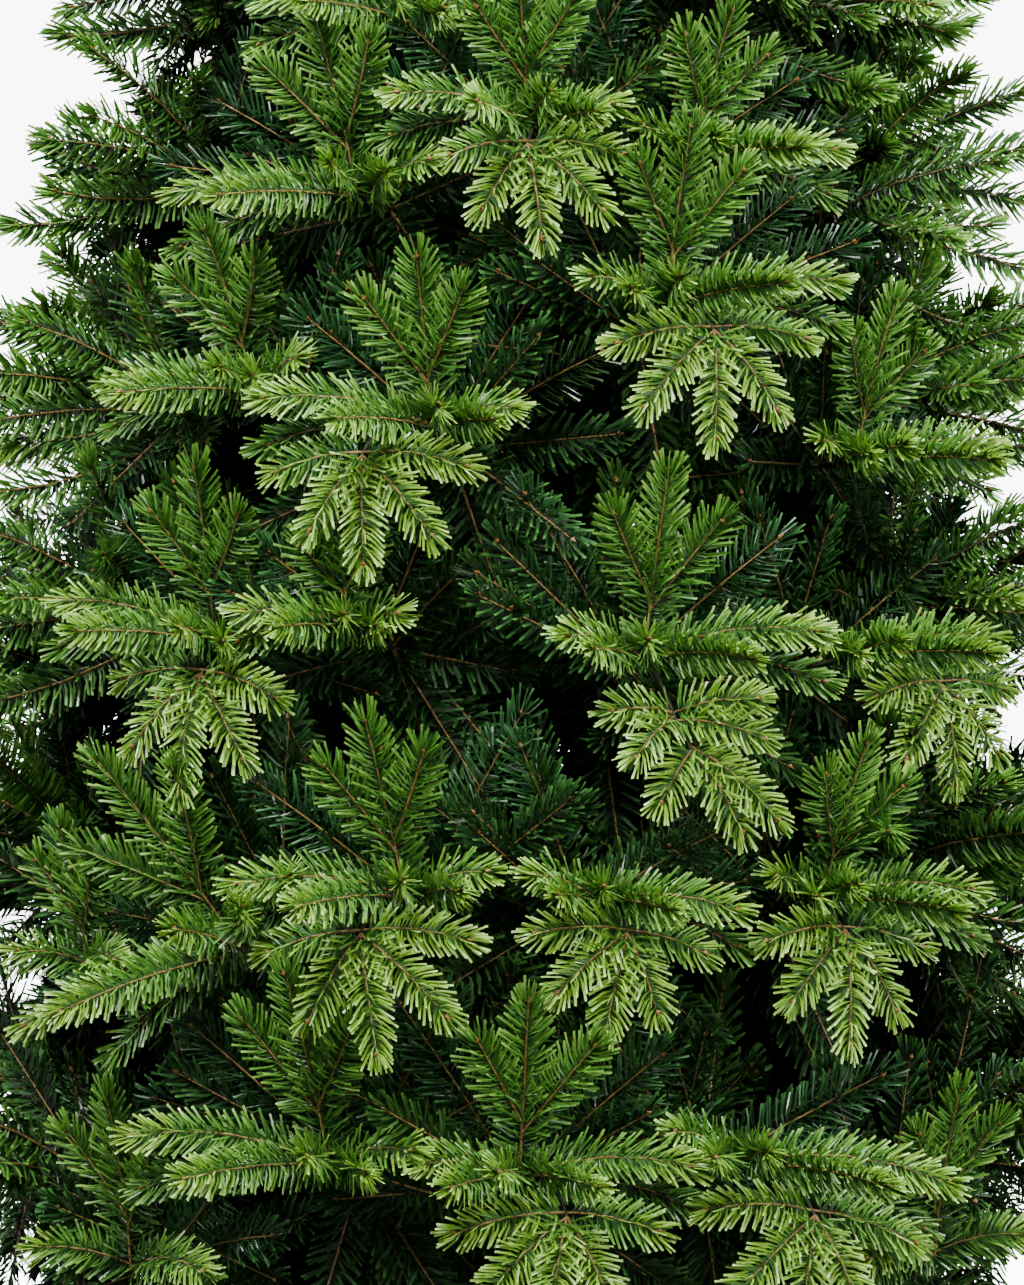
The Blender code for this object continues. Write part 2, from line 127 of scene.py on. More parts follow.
def branchEnds():
    ends = []
    for tier, (masses, endsEach, first) in enumerate(tiers):
        count = masses * endsEach
        for number in range(-1, count - 1):
            turn, lift = shiftedEnds.get((tier, number), (0.0, 0.0))
            azimuth = math.radians(first + turn + 360 * number / count)
            height = tierHeight(tier) + lift
            mass = (number + 1) // endsEach
            node = f"foliage_tier{tier + 1:02d}_{mass + 1}"
            point = place(azimuth, crown["endShare"] * crownReach(height), height)
            ends.append({"tier": tier, "number": number, "node": node, "azimuth": azimuth, "point": point})
    return ends


# Sprays. Each is an arched twig with needles in rows: its line, the side that faces out, the shades
# of its needles from root to tip, and the kind of needles that it carries.
sprays = []
limbs = []
allEnds = branchEnds()
endsByMass = {}
for branchEnd in allEnds:
    endsByMass.setdefault(branchEnd["node"], []).append(branchEnd)
endPoints = np.array([list(end["point"]) for end in allEnds])
up = Vector((0, 0, 1))

shades = ["pale", "fresh", "mid", "deep", "blue"]
shadeRuns = {  # shares of the length where one shade gives way to the next
    "pale": [("fresh", 0.16), ("pale", 1.0)],
    "bright": [("mid", 0.30), ("fresh", 0.74), ("pale", 1.0)],
    "fresh": [("mid", 0.34), ("fresh", 1.0)],
    "upper": [("deep", 0.04), ("mid", 0.28), ("fresh", 1.0)],
    "mid": [("deep", 0.30), ("mid", 0.88), ("fresh", 1.0)],
    "blue": [("deep", 0.15), ("blue", 1.0)],
    "deep": [("deep", 1.0)],
}


# The share of the crown's reach that sprays on the inside may use. The crown is fullest low down
reachShares = {"inner": 0.78, "middle": 0.74, "coarse": 0.66}
lowReachShares = {"inner": 0.98, "middle": 0.92, "coarse": 0.82}
lowTiers = (0, 1, 2)
edgeTiers = (1, 2, 3, 4, 5)  # those at whose sides the white shows
edgeDepth = 0.12  # how far behind the pole


def hintOf(end):
    return moduleHints.get((end.get("tier"), end.get("number")))


def inSpace(point, end, kind):
    if not crown["foot"] - crown["footMargin"] <= point.z <= crown["height"]:
        return False
    share = (lowReachShares if end.get("tier") in lowTiers else reachShares).get(kind, 1.0)
    if math.hypot(point.x, point.y) > crownReach(point.z) * share + crown["needleMargin"]:
        return False
    own = (point - end["point"]).length
    nearest = np.sqrt(((endPoints - np.array(point)) ** 2).sum(axis=1).min())
    return own <= nearest + 2 * crown["slack"]


def archedLine(root, tip, arch, steps):
    length = (tip - root).length
    shares = [step / (steps - 1) for step in range(steps)]
    return [root.lerp(tip, share) + arch * (length * 4 * share * (1 - share)) for share in shares]


def kindOf(end):
    # the finest sprays face the camera, and the next ones stand against the white beside them
    if hintOf(end):
        return "near"
    return "edge" if end.get("tier") in edgeTiers and end["point"].y < edgeDepth else "outer"


# a spray that reaches too far is tried shorter, and left out where it gets too short
spraySizes = {"tries": (1.0, 0.88, 0.76, 0.64, 0.52), "shortest": 0.022,
              "steps": {"middle": 3, "coarse": 3, "inner": 4}, "fineSteps": 5}


def addSpray(end, root, tip, facing, run, arch=Vector((0, 0, 0)), kind=None, needles=1.0):
    kind = kind or kindOf(end)
    for share in spraySizes["tries"]:
        reached = root.lerp(tip, share)
        if inSpace(reached, end, kind):
            break
    else:
        return None
    length = (reached - root).length
    if length < spraySizes["shortest"]:
        return None
    steps = spraySizes["steps"].get(kind, spraySizes["fineSteps"])
    made = {"node": end["node"], "line": archedLine(root, reached, arch, steps), "facing": facing, "run": run,
            "length": length, "kind": kind, "needles": needles}
    sprays.append(made)
    return made


def addLimb(node, line, thick, thin):
    limbs.append({"node": node, "line": line, "thick": thick, "thin": thin})


def pointAlong(line, share):
    at = share * (len(line) - 1)
    first = min(int(at), len(line) - 2)
    return line[first].lerp(line[first + 1], at - first)


# One branch end, moulded alike on the whole tree: for each spray its group, how far along its stem it
# grows, its tip in millimetres aside, out and up of the branch end, and its shades
moduleSprays = [
    ("up", 1.00, (9, 34, 118), "upper"),
    ("fork", 0.30, (-29, 32, 90), "upper"),
    ("fork", 0.25, (45, 28, 86), "fresh"),
    ("back", 0.35, (-78, -22, 110), "blue"),
    ("back", 0.45, (92, -12, 76), "blue"),
    ("back", 0.25, (134, -8, 40), "blue"),
    ("back", 0.15, (-112, -25, 54), "deep"),
    ("nose", 1.00, (-12, 66, 12), "bright"),
    ("nose", 0.80, (-46, 62, 2), "bright"),
    ("nose", 0.85, (48, 104, 2), "bright"),
    ("arm", 0.90, (-60, 28, 12), "bright"),
    ("arm", 1.00, (106, 44, 14), "bright"),
    ("arm", 0.85, (112, 26, -16), "mid"),
    ("hand", 0.90, (-64, 44, -32), "pale"),
    ("hand", 1.00, (-46, 58, -78), "pale"),
    ("hand", 1.00, (-2, 66, -100), "pale"),
    ("hand", 1.00, (42, 60, -76), "pale"),
    ("hand", 0.90, (68, 46, -30), "bright"),
    ("long", 0.62, (-32, 46, -35), "pale"),
    ("long", 0.62, (62, 50, -27), "pale"),
    ("long", 0.66, (-22, 62, -68), "pale"),
    ("long", 0.70, (63, 58, -56), "pale"),
    ("long", 0.98, (-4, 62, -95), "pale"),
    ("long", 1.00, (46, 66, -117), "pale"),
    ("long", 0.94, (77, 62, -104), "pale"),
]
# the hanging fan is one of two: a hand on a short stem, or a long one. Forks grow from the upright
fanStems = {
    "hand": [(4, 20, -10), (8, 36, -22)],
    "long": [(7, 24, -22), (11, 38, -40), (21, 48, -63)],
}
# away from the camera the branch ends are less spread, and more of their sprays point outwards
outwardSprays = [
    ("nose", 0.80, (30, 124, 34), "upper"),
    ("nose", 0.90, (-42, 116, -26), "mid"),
    ("nose", 0.70, (6, 136, 2), "upper"),
    ("rise", 0.15, (34, 112, 84), "upper"),
    ("rise", 0.35, (-44, 100, 58), "mid"),
    ("fall", 0.10, (-30, 110, -84), "mid"),
    ("fall", 0.30, (48, 100, -56), "mid"),
]
# against the white at the crown's sides, they all do, one above the other
sideSprays = [
    ("nose", 0.80, (12, 128, 22), "upper"),
    ("nose", 0.60, (-26, 120, -22), "mid"),
    ("nose", 0.90, (44, 84, 4), "bright"),
    ("rise", 0.15, (24, 108, 68), "mid"),
    ("fall", 0.10, (-14, 106, -70), "mid"),
    ("arm", 0.25, (100, 36, 30), "upper"),
    ("arm", 0.00, (78, -20, -26), "mid"),
    ("up", 0.40, (46, 12, 96), "upper"),
    ("back", 0.15, (70, -24, 72), "blue"),
]
# and their shades are a step darker, by chance
darkerRuns = {"fresh": "upper", "bright": "fresh", "pale": "bright", "upper": "mid", "mid": "mid",
              "deep": "deep", "blue": "blue"}
darkerShare = 0.65
# each group's arch and facing side (aside, out and up), the chance that one of it is kept away from the
# camera, and the length of its needles
groupRules = {
    "up": ((0, -0.03, 0), (0, 1, -0.2), 0.55, 1.2),
    "fork": ((0, -0.03, 0), (0, 1, -0.2), 0.55, 1.2),
    "back": ((0, 0.02, 0.02), (0, 1, 0.1), 0.25, 1.3),
    "nose": ((0, 0, 0.03), (0.9, 0, 0.5), 0.78, 1.12),
    "arm": ((0, 0.02, 0.08), (0, 0.75, 0.7), 0.5, 1.15),
    "hand": ((0, 0.06, 0.06), (0, 0.9, 0.45), 0.95, 1.02),
    "long": ((0, 0.05, 0.07), (0, 0.9, 0.45), 0.92, 1.02),
    "rise": ((0, 0, 0.06), (0.8, 0, 0.6), 0.3, 1.12),
    "fall": ((0, 0, -0.06), (0.8, 0, 0.6), 0.3, 1.12),
}
sideRules = {"from": 0.7, "keep": 0.78, "needles": 1.12}  # from this sine of the azimuth on
# away from the camera, chance moves a branch end: its roll and pitch in radians, size, hanging fan in
# millimetres aside, the tilt of its uprights, how often it has a fan, and each spray's turn and length
scatter = {
    "roll": 0.45, "pitch": 0.25, "size": (0.88, 1.08), "aside": 25, "tilt": (0.5, 1.0), "turn": 0.8,
    "shorter": (0.6, 1.0), "fans": ("hand", "hand", "long"), "fanShare": 0.6,
    "sideFanShare": 0.25, "sideFrom": 0.75,  # beside the pole, from this sine of the azimuth on
    "highTilt": 0.3, "highFrom": 5,  # how much less the uprights are tilted, and from which tier
    "smallestShare": 0.62,  # of the size, at the crown's tip
}
# thickness of limbs: at the pole, at a fork, at the tip, and of a hanging fan's stem
limbRadii = {"main": 0.0044, "fork": 0.0034, "tip": 0.0020, "stem": (0.0018, 0.0011)}
moduleWobble = 0.07  # how far chance moves a spray's tip, as a share of its length
endLength = 0.07  # metres of a bough's end that carry these sprays

# branch ends near the camera: mirrored or not, turned by degrees, size, millimetres aside and up, the
# hanging fan's millimetres aside, its kind, and the groups that they haven't got
moduleHints = {
    (5, -1): (-1, 0, 0.85, -6, -56, 0, "", ""),
    (5, 0): (1, 0, 0.85, 0, 0, 0, "", ""),
    (4, 0): (-1, 0, 0.86, 2, 12, 4, "hand", ""),
    (4, -1): (-1, 6, 1.06, 2, 2, 0, "", ""),
    (4, 1): (1, -5, 0.85, 0, 0, 0, "", ""),
    (3, -1): (-1, 6, 0.9, 0, 0, 0, "", ""),
    (3, 0): (-1, 0, 0.96, -11, -3, -34, "hand", ""),
    (3, 1): (1, 0, 0.98, 24, 17, 14, "hand", ""),
    (3, 2): (1, 0, 0.9, 34, 12, 0, "", ""),
    (2, -1): (-1, 0, 0.62, -34, 3, 0, "", ""),
    (2, 0): (1, 0, 1.0, 18, -7, 0, "long", ""),
    (2, 1): (1, 0, 0.86, 36, -18, 44, "hand", "up"),
    (2, 13): (-1, -6, 0.94, -33, -7, 22, "hand", ""),
    (1, -1): (-1, 30, 1.3, 10, -42, 0, "", ""),
    (1, 0): (-1, 4, 1.0, -5, -3, -16, "hand", ""),
    (1, 1): (1, -10, 0.8, 9, -6, 10, "hand", "up"),
    (1, 2): (1, -6, 0.9, 38, -8, -8, "hand", ""),
    (1, 16): (1, 0, 0.8, -5, -60, 0, "", "nose"),
    (0, -1): (-1, 0, 1.1, 17, 0, 0, "", ""),
    (0, 0): (1, 0, 1.0, 5, -6, 22, "hand", ""),
    (0, 1): (1, -12, 1.12, 17, 0, 30, "hand", "up"),
    (0, 2): (-1, 0, 1.0, 40, -75, 0, "", "nose"),
    (0, 16): (1, 0, 1.0, 0, -80, 0, "", "nose"),
}


def rotated(a, b, angle):
    return a * math.cos(angle) - b * math.sin(angle), b * math.cos(angle) + a * math.sin(angle)


def growModule(end, bough, chance):
    out, side = axesOf(end)
    hint = hintOf(end)
    if hint:
        mirror, roll, size, _, _, fanAside, fan, omitted = hint
        roll, pitch, tilt, table, isSide = math.radians(roll), 0.0, 0.0, moduleSprays, False
    else:
        mirror = chance.choice((-1, 1))
        roll = chance.uniform(-scatter["roll"], scatter["roll"])
        pitch = chance.uniform(-scatter["pitch"], scatter["pitch"])
        size = chance.uniform(*scatter["size"])
        size *= min(1.0, scatter["smallestShare"] + crownReach(end["point"].z))
        isHigh = end["tier"] >= scatter["highFrom"]
        sideways = math.sin(end["azimuth"])
        fanAside = chance.uniform(-scatter["aside"], scatter["aside"])
        tilt = chance.uniform(*scatter["tilt"]) - scatter["highTilt"] * isHigh
        fan = chance.choice(scatter["fans"])
        isBeside = abs(sideways) > scatter["sideFrom"] and not isHigh
        fan = fan if chance.random() < scatter["sideFanShare" if isBeside else "fanShare"] else ""
        table, omitted = moduleSprays + outwardSprays, ""
        isSide = kindOf(end) == "edge" and abs(sideways) > sideRules["from"]
        if isSide:
            fan, tilt, table, mirror = "", 0.0, sideSprays, -math.copysign(1, sideways)
    tip = bough[-1]

    def placed(group, offset, wobble):
        aside, outward, above = [value * size / 1000 for value in offset]
        if group in ("up", "fork", "back"):
            outward, above = rotated(outward, above, -tilt)
        elif group == fan:
            aside += fanAside / 1000 * mirror
            outward, above = rotated(outward, above, tilt / 2)
        outward, above = rotated(outward, above, pitch)
        aside, above = rotated(aside * mirror, above, roll)
        reach = math.sqrt(aside**2 + outward**2 + above**2) * wobble
        aside, outward, above = [value + chance.uniform(-reach, reach) for value in (aside, outward, above)]
        return tip + side * aside + out * outward + up * above

    def turned(vector):
        return side * vector[0] + out * vector[1] + up * vector[2]

    lines = {"bough": [pointAlong(bough, 1 - endLength / lineLength(bough)), tip]}
    if fan:
        lines[fan] = [tip] + [placed(fan, offset, 0) for offset in fanStems[fan]]
        addLimb(end["node"], lines[fan], *limbRadii["stem"])
    for group, share, offset, run in table:
        arch, face, keep, needles = groupRules[group]
        keep = 1.0 if hint else sideRules["keep"] if isSide else keep
        stem = group if group in ("fork", "hand", "long") else "bough"
        if stem not in lines or group == omitted or chance.random() > keep:
            continue
        root = pointAlong(lines[stem], share)
        if not hint and group in ("nose", "rise", "fall"):
            shorter = chance.uniform(*scatter["shorter"])
            offset = [value * shorter for value in offset]
        turn = 0 if hint else chance.uniform(-scatter["turn"], scatter["turn"])
        facing = Matrix.Rotation(turn, 3, "Z") @ turned(face)
        if kindOf(end) == "edge":
            facing.y = -abs(facing.y)
        if not hint and chance.random() < darkerShare:
            run = darkerRuns[run]
        reached = placed(group, offset, moduleWobble * (0.5 if hint else 1))
        kind = "dark" if hint and group == "back" else None
        needles *= sideRules["needles"] if isSide else 1
        made = addSpray(end, root, reached, facing.normalized(), run, turned(arch), kind, needles)
        if made and group == "up" and "fork" not in lines:
            lines["fork"] = made["line"]


def lineLength(line):
    return sum((b - a).length for a, b in zip(line, line[1:]))


# Sprays along each bough fill the inside, coloured darker as painted shade: fine ones near its end, and
# coarser ones further in
inner = {
    "arch": -0.03,  # of the bough
    "innerNeedles": 1.2,  # length of the needles near its end
    "tipShift": (0.015, 0.032),  # how far chance moves a bough's tip aside and up
    "step": 0.036,
    "first": 0.035,
    "margin": 0.035,
    "length": (0.085, 0.15),
    "coarseShare": 0.5,  # of the bough
    "middleShare": 0.78,
    "nearMiddleShare": 0.42,  # on the branch ends near the camera
    "edgeStep": 0.75,  # shorter steps where the white shows behind
    "highTier": 6,
    "turn": (0.6, 0.4),  # how far chance turns a heading up and aside
    "outward": (0.1, 0.6),
    "headings": ((-1, 0.1), (1, 0.1), (-0.3, 1), (0.3, -1)),  # aside and up
    "middleHeadings": ((-0.8, -0.7), (0.8, 0.8)),
    "moreHeadings": ((-0.7, 0.8), (0.8, -0.8)),  # for all but the coarse ones
    "footHeadings": ((0.2, -1.2),),  # under the lowest tier
}


def growBough(end, fork, isMain, chance):
    root = boughRoot(end) if isMain else fork
    tip = end["point"].copy()
    hint = hintOf(end)
    side = axesOf(end)[1]
    if hint:
        tip += side * (hint[3] / 1000) + up * (hint[4] / 1000)
    else:
        aside, above = inner["tipShift"]
        tip += side * chance.uniform(-aside, aside) + up * chance.uniform(-above, above)
    line = archedLine(root, tip, Vector((0, 0, inner["arch"])), 7)
    addLimb(end["node"], line, limbRadii["main" if isMain else "fork"], limbRadii["tip"])
    out = (tip - root).normalized()
    length = (tip - root).length
    reach = inner["first"]
    isHigh = end["tier"] >= inner["highTier"]
    while reach < length - inner["margin"]:
        share = reach / length
        kind = "coarse" if share < inner["coarseShare"] and not isHigh else "middle"
        kind = "inner" if share > inner["nearMiddleShare" if hint else "middleShare"] else kind
        headings = inner["headings"] + (inner["middleHeadings"] if kind == "middle" else ())
        headings += inner["moreHeadings"] if kind != "coarse" else ()
        headings += inner["footHeadings"] if end["tier"] == 0 else ()
        point = pointAlong(line, share)
        for aside, above in headings:
            above += chance.uniform(-inner["turn"][0], inner["turn"][0])
            aside += chance.uniform(-inner["turn"][1], inner["turn"][1])
            heading = (out * chance.uniform(*inner["outward"]) + side * aside + up * above).normalized()
            facing = (out + up * 0.3).normalized()
            # high up, the inner sprays take a lighter run than the deep one below: painted light for the
            # brighter top of the crown
            run = "mid" if isHigh else "deep"
            run = chance.choice(("deep", "deep", "blue", "mid")) if kind == "inner" else run
            reached = point + heading * chance.uniform(*inner["length"])
            needles = inner["innerNeedles"] if kind == "inner" else 1.0
            addSpray(end, point, reached, facing, run, kind=kind, needles=needles)
        reach += inner["step"] * (inner["edgeStep"] if kindOf(end) == "edge" else 1)
    return line


leader = {"top": 2.10, "foot": 1.8123, "node": "foliage_leader", "point": Vector((0, 0, 1.925)),
          "radii": (0.0060, 0.0016), "turn": 0.25, "needles": 1.1, "freshFrom": 4, "limbGap": 0.016,
          "tip": 2.086, "arch": -0.05}
leaderRings = [  # height, length, count and outward share
    (1.818, 0.11, 6, 3.5), (1.826, 0.115, 5, 1.7), (1.835, 0.125, 5, 0.95), (1.872, 0.115, 5, 0.85),
    (1.91, 0.105, 5, 0.75), (1.95, 0.09, 5, 0.65), (1.99, 0.07, 4, 0.55),
]
leaderTips = (1.89, 1.94, 1.99)  # where the sprays round the very top begin


def growLeader(chance):
    node = leader["node"]
    end = {"node": node, "point": leader["point"]}
    foot, top = Vector((0, 0, leader["foot"])), Vector((0, 0, leader["top"] - leader["limbGap"]))
    addLimb(node, archedLine(foot, top, Vector((0, 0, 0)), 6), *leader["radii"])
    for ring, (height, length, count, outward) in enumerate(leaderRings):
        for number in range(count):
            turn = chance.uniform(-leader["turn"], leader["turn"])
            azimuth = math.tau * (number + 0.5 * ring) / count + turn
            heading = (place(azimuth, 1, 0) * outward + up).normalized()
            root = Vector((0, 0, height))
            facing = place(azimuth, 1, -0.5).normalized()
            run = "mid" if ring < leader["freshFrom"] else "fresh"
            arch = up * leader["arch"]
            addSpray(end, root, root + heading * length, facing, run, arch, needles=leader["needles"])
    tip = Vector((0, 0, leader["tip"]))
    for number, height in enumerate(leaderTips):
        addSpray(end, Vector((0, 0, height)), tip, place(math.tau * number / 3, 1, 0), "fresh")


def growCrown():
    for ends in endsByMass.values():
        main = ends[len(ends) // 2]
        fork = boughRoot(main).lerp(main["point"], crown["forkShare"])
        for end in ends:
            chance = random.Random(1000 * end["tier"] + end["number"] + 7)
            line = growBough(end, fork, end is main, chance)
            growModule(end, line, chance)
    growLeader(random.Random(5))
    print("crown grown:", len(sprays), "sprays,", len(limbs), "limbs")


growCrown()


# Needles: real ones are about 18 mm long, and each side row has one every 4 mm
needle = {
    "length": 0.0190,
    "width": 0.0016,
    "depth": 0.0009,
    "bend": 0.0013,  # how far the needle's arc leaves a straight line
    "coarseLength": 0.026,
    "coarseWidth": 0.0032,
    "underWidth": 0.0044,
}
fullRows = (96, -96, 60, -60, 104, -104, 132, -132, 92, -92, 28, -28)  # degrees from the facing side
fewRows = (90, -90, 50, -50, 130, -130, 15)
underRows = (112, -112, 103, -103, 130, -130)
needleKinds = {  # needles a metre, those round the end, thickness and length, rows, jitter and twist
    "near": (1080, 10, (1.15, 1.0), fullRows, (8, 4.5), 0.35),
    "dark": (820, 8, (1.05, 1.0), fullRows, (7, 4), 0.45),
    "edge": (960, 14, (1.3, 1.0), fullRows, (8, 5), 0.3),
    "outer": (570, 7, (1.6, 1.0), fullRows, (7, 4), 0.3),
    "inner": (800, 8, (1.3, 1.0), fewRows, (8, 4), 0.4),
    "middle": (800, 6, (1.0, 1.25), fewRows, (12, 7), 0.6),
    "coarse": (540, 5, (2.2, 1.0), fewRows, (20, 10), 0.8),
    "under": (440, 3, (1.0, 0.8), underRows, (8, 5), 0.3),
}
# degrees from the twig, and shares of the length, at shares along the spray. Needles in the side rows
# stand out more and are longer than those on top
needleSet = {
    "pitch": ([0, 0.55, 0.85, 1.0], [70, 62, 50, 32]),
    "topPitch": 0.66,
    "tuftPitch": (8, 30),
    "length": ([0, 0.10, 0.75, 1.0], [0.72, 0.98, 1.0, 0.84]),
    "topLength": 0.82,
    "lengthChance": (0.86, 1.08),
    "rows": (0.05, 0.94),  # where they start, and the share of the spray that they take
    "shadeChance": 0.05,
    "toneChance": (0.7, 0.5),  # by spray and by needle
}


def needlesOf(spray, numbers, kind):
    perMetre, tuft, (thick, long), rows, jitter, twisting = needleKinds[kind]
    count = int(spray["length"] * perMetre)
    total = count + tuft
    first, share = needleSet["rows"]
    along = np.concatenate([(np.arange(count) + 0.5) / count * share + first, np.full(tuft, first + share)])
    # points and tangents on the arched line, which is a parabola
    line = np.array([list(point) for point in spray["line"]])
    root, tip = line[0], line[-1]
    share = 1 / (len(line) - 1)
    rise = (line[1] - root - (tip - root) * share) / (share * (1 - share))
    t = along[:, None]
    points = root + (tip - root) * t + rise * t * (1 - t)
    tangents = (tip - root) + rise * (1 - 2 * t)
    tangents /= np.linalg.norm(tangents, axis=1, keepdims=True)
    facing = np.array(spray["facing"]) + 1e-4
    facing = facing - tangents * (tangents @ facing)[:, None]
    facing /= np.linalg.norm(facing, axis=1, keepdims=True)
    across = np.cross(tangents, facing)
    roll = np.radians(np.array(rows)[np.arange(total) % len(rows)] + numbers.normal(0, jitter[0], total))
    roll[count:] = numbers.uniform(0, math.tau, tuft)
    sideways = np.abs(np.sin(roll))
    top = needleSet["topPitch"]
    pitch = np.interp(along, *needleSet["pitch"]) * (top + (1 - top) * sideways)
    pitch[count:] = numbers.uniform(*needleSet["tuftPitch"], tuft)
    pitch = np.radians(pitch + numbers.normal(0, jitter[1], total))
    radial = np.cos(roll)[:, None] * facing + np.sin(roll)[:, None] * across
    heading = np.cos(pitch)[:, None] * tangents + np.sin(pitch)[:, None] * radial
    wide = np.sin(pitch)[:, None] * tangents - np.cos(pitch)[:, None] * radial
    # each needle is turned a little about itself, so that some catch the light
    twist = numbers.normal(0, twisting, total)[:, None]
    normal = np.cross(heading, wide)
    wide, normal = (wide * np.cos(twist) + normal * np.sin(twist),
                    normal * np.cos(twist) - wide * np.sin(twist))
    top = needleSet["topLength"]
    length = np.interp(along, *needleSet["length"]) * spray["needles"]
    length *= numbers.uniform(*needleSet["lengthChance"], total) * (top + (1 - top) * sideways)
    size = np.stack([np.full(total, thick), np.ones(total), length * long], axis=1)
    shade = np.full(total, shades.index(shadeRuns[spray["run"]][-1][0]))
    edge = along + numbers.normal(0, needleSet["shadeChance"], total)
    for name, limit in reversed(shadeRuns[spray["run"]]):
        shade[edge <= limit] = shades.index(name)
    bySpray, byNeedle = needleSet["toneChance"]
    tone = numbers.normal(0, bySpray) + numbers.normal(0, byNeedle, total)
    return points, np.stack([wide, normal, heading], axis=2), size, shade, tone


def quaternions(turns):
    # from matrices whose columns are the turned axes
    signs = np.array([[1, 1, 1], [1, -1, -1], [-1, 1, -1], [-1, -1, 1]])
    diagonal = np.stack([turns[:, i, i] for i in range(3)], axis=1)
    found = np.sqrt(np.maximum(1 + diagonal @ signs.T, 0)) / 2
    for axis, (i, j) in enumerate([(2, 1), (0, 2), (1, 0)], 1):
        found[:, axis] = np.copysign(found[:, axis], turns[:, i, j] - turns[:, j, i])
    return found / np.linalg.norm(found, axis=1, keepdims=True)


# Nodes and materials
def setInputs(tree, node, inputs):
    for name, value in inputs.items():
        if isinstance(value, bpy.types.NodeSocket):
            tree.links.new(value, node.inputs[name])
        else:
            node.inputs[name].default_value = value


def addNode(tree, kind, inputs=None, **settings):
    node = tree.nodes.new(kind)
    for name, value in settings.items():
        setattr(node, name, value)
    setInputs(tree, node, inputs or {})
    return node


def linear(code):
    values = [int(code[i:i + 2], 16) / 255 for i in (1, 3, 5)]
    return (*[v / 12.92 if v <= 0.04045 else ((v + 0.055) / 1.055) ** 2.4 for v in values], 1.0)


def newMaterial(name):
    made = bpy.data.materials.new(name)
    made.use_nodes = True
    tree = made.node_tree
    where = addNode(tree, "ShaderNodeTexCoord").outputs["Object"]
    return made, tree, tree.nodes["Principled BSDF"], where


def rampOf(tree, factor, stops):
    ramp = addNode(tree, "ShaderNodeValToRGB", {"Fac": factor})
    elements = ramp.color_ramp.elements
    while len(elements) < len(stops):
        elements.new(0.5)
    for element, (at, code) in zip(elements, stops):
        element.position = at
        element.color = linear(code)
    return ramp.outputs["Color"]


# Moulded polyethylene needles: waxy, with a streak of light along each, and duller on the inside. The
# colour is darker at the needle's foot and paler at its blunt end, and differs a little between sprays
# and between needles. The pale end is partly the second tone of the moulding and partly a painted
# highlight that stands in for the glints at the needle ends.
needleFinish = {"grainSize": 6, "footShare": 0.08, "endGain": 0.78, "toneGain": 0.10}
outerLook, darkLook, insideLook = (0.26, 0.42, 0.5), (0.22, 0.38, 0.5), (0.5, 0.7, 0.2)
needleLooks = {  # lowest and highest roughness, and specular level
    "pale": outerLook, "fresh": outerLook, "mid": outerLook, "deep": darkLook, "blue": darkLook,
    "inside": insideLook, "shaded": insideLook, "dull": insideLook,
}
needleColours = {  # darkest, plain, lightest; the lightest is partly a painted highlight at the needle ends
    "pale": ("#4A7A20", "#82B034", "#B8E876"),
    "fresh": ("#32621A", "#5A922E", "#90C454"),
    "mid": ("#224A16", "#427428", "#74AC4A"),
    "deep": ("#0E240A", "#1E4014", "#427630"),
    "blue": ("#0E2A12", "#204E22", "#448042"),
    # painted shade: near-black needles deep in the crown, where shade falls
    "inside": ("#081406", "#12260C", "#264216"),
    # painted shade: a darker mid green for the inner, middle and under needles
    "shaded": ("#1C3A12", "#2C541A", "#3E6C24"),
    "dull": ("#0E260E", "#20481C", "#447E36"),
}


def mouldedPolyethylene(name, colours):
    made, tree, shader, where = newMaterial("moulded polyethylene " + name)
    grain = addNode(tree, "ShaderNodeTexNoise", {
        "Vector": where, "Scale": 1000 / needleFinish["grainSize"], "Detail": 0.0})
    along = addNode(tree, "ShaderNodeAttribute", attribute_name="along").outputs["Fac"]
    tone = addNode(tree, "ShaderNodeAttribute", attribute_name="tone").outputs["Fac"]
    level = addNode(tree, "ShaderNodeMath", {
        0: along, 1: needleFinish["endGain"], 2: needleFinish["footShare"]}, operation="MULTIPLY_ADD")
    level = addNode(tree, "ShaderNodeMath", {
        0: tone, 1: needleFinish["toneGain"], 2: level.outputs[0]}, operation="MULTIPLY_ADD")
    # the palest stop, at the needle's end, is partly a painted highlight
    stops = [(0.12, colours[0]), (0.36, colours[1]), (0.66, colours[1]), (0.88, colours[2])]
    low, high, specular = needleLooks[name]
    rough = addNode(tree, "ShaderNodeMapRange", {
        "Value": grain.outputs[0], "From Min": 0.3, "From Max": 0.7, "To Min": low, "To Max": high})
    setInputs(tree, shader, {
        "Base Color": rampOf(tree, level.outputs[0], stops), "Roughness": rough.outputs["Result"],
        "IOR": 1.51, "Specular IOR Level": specular})
    return made


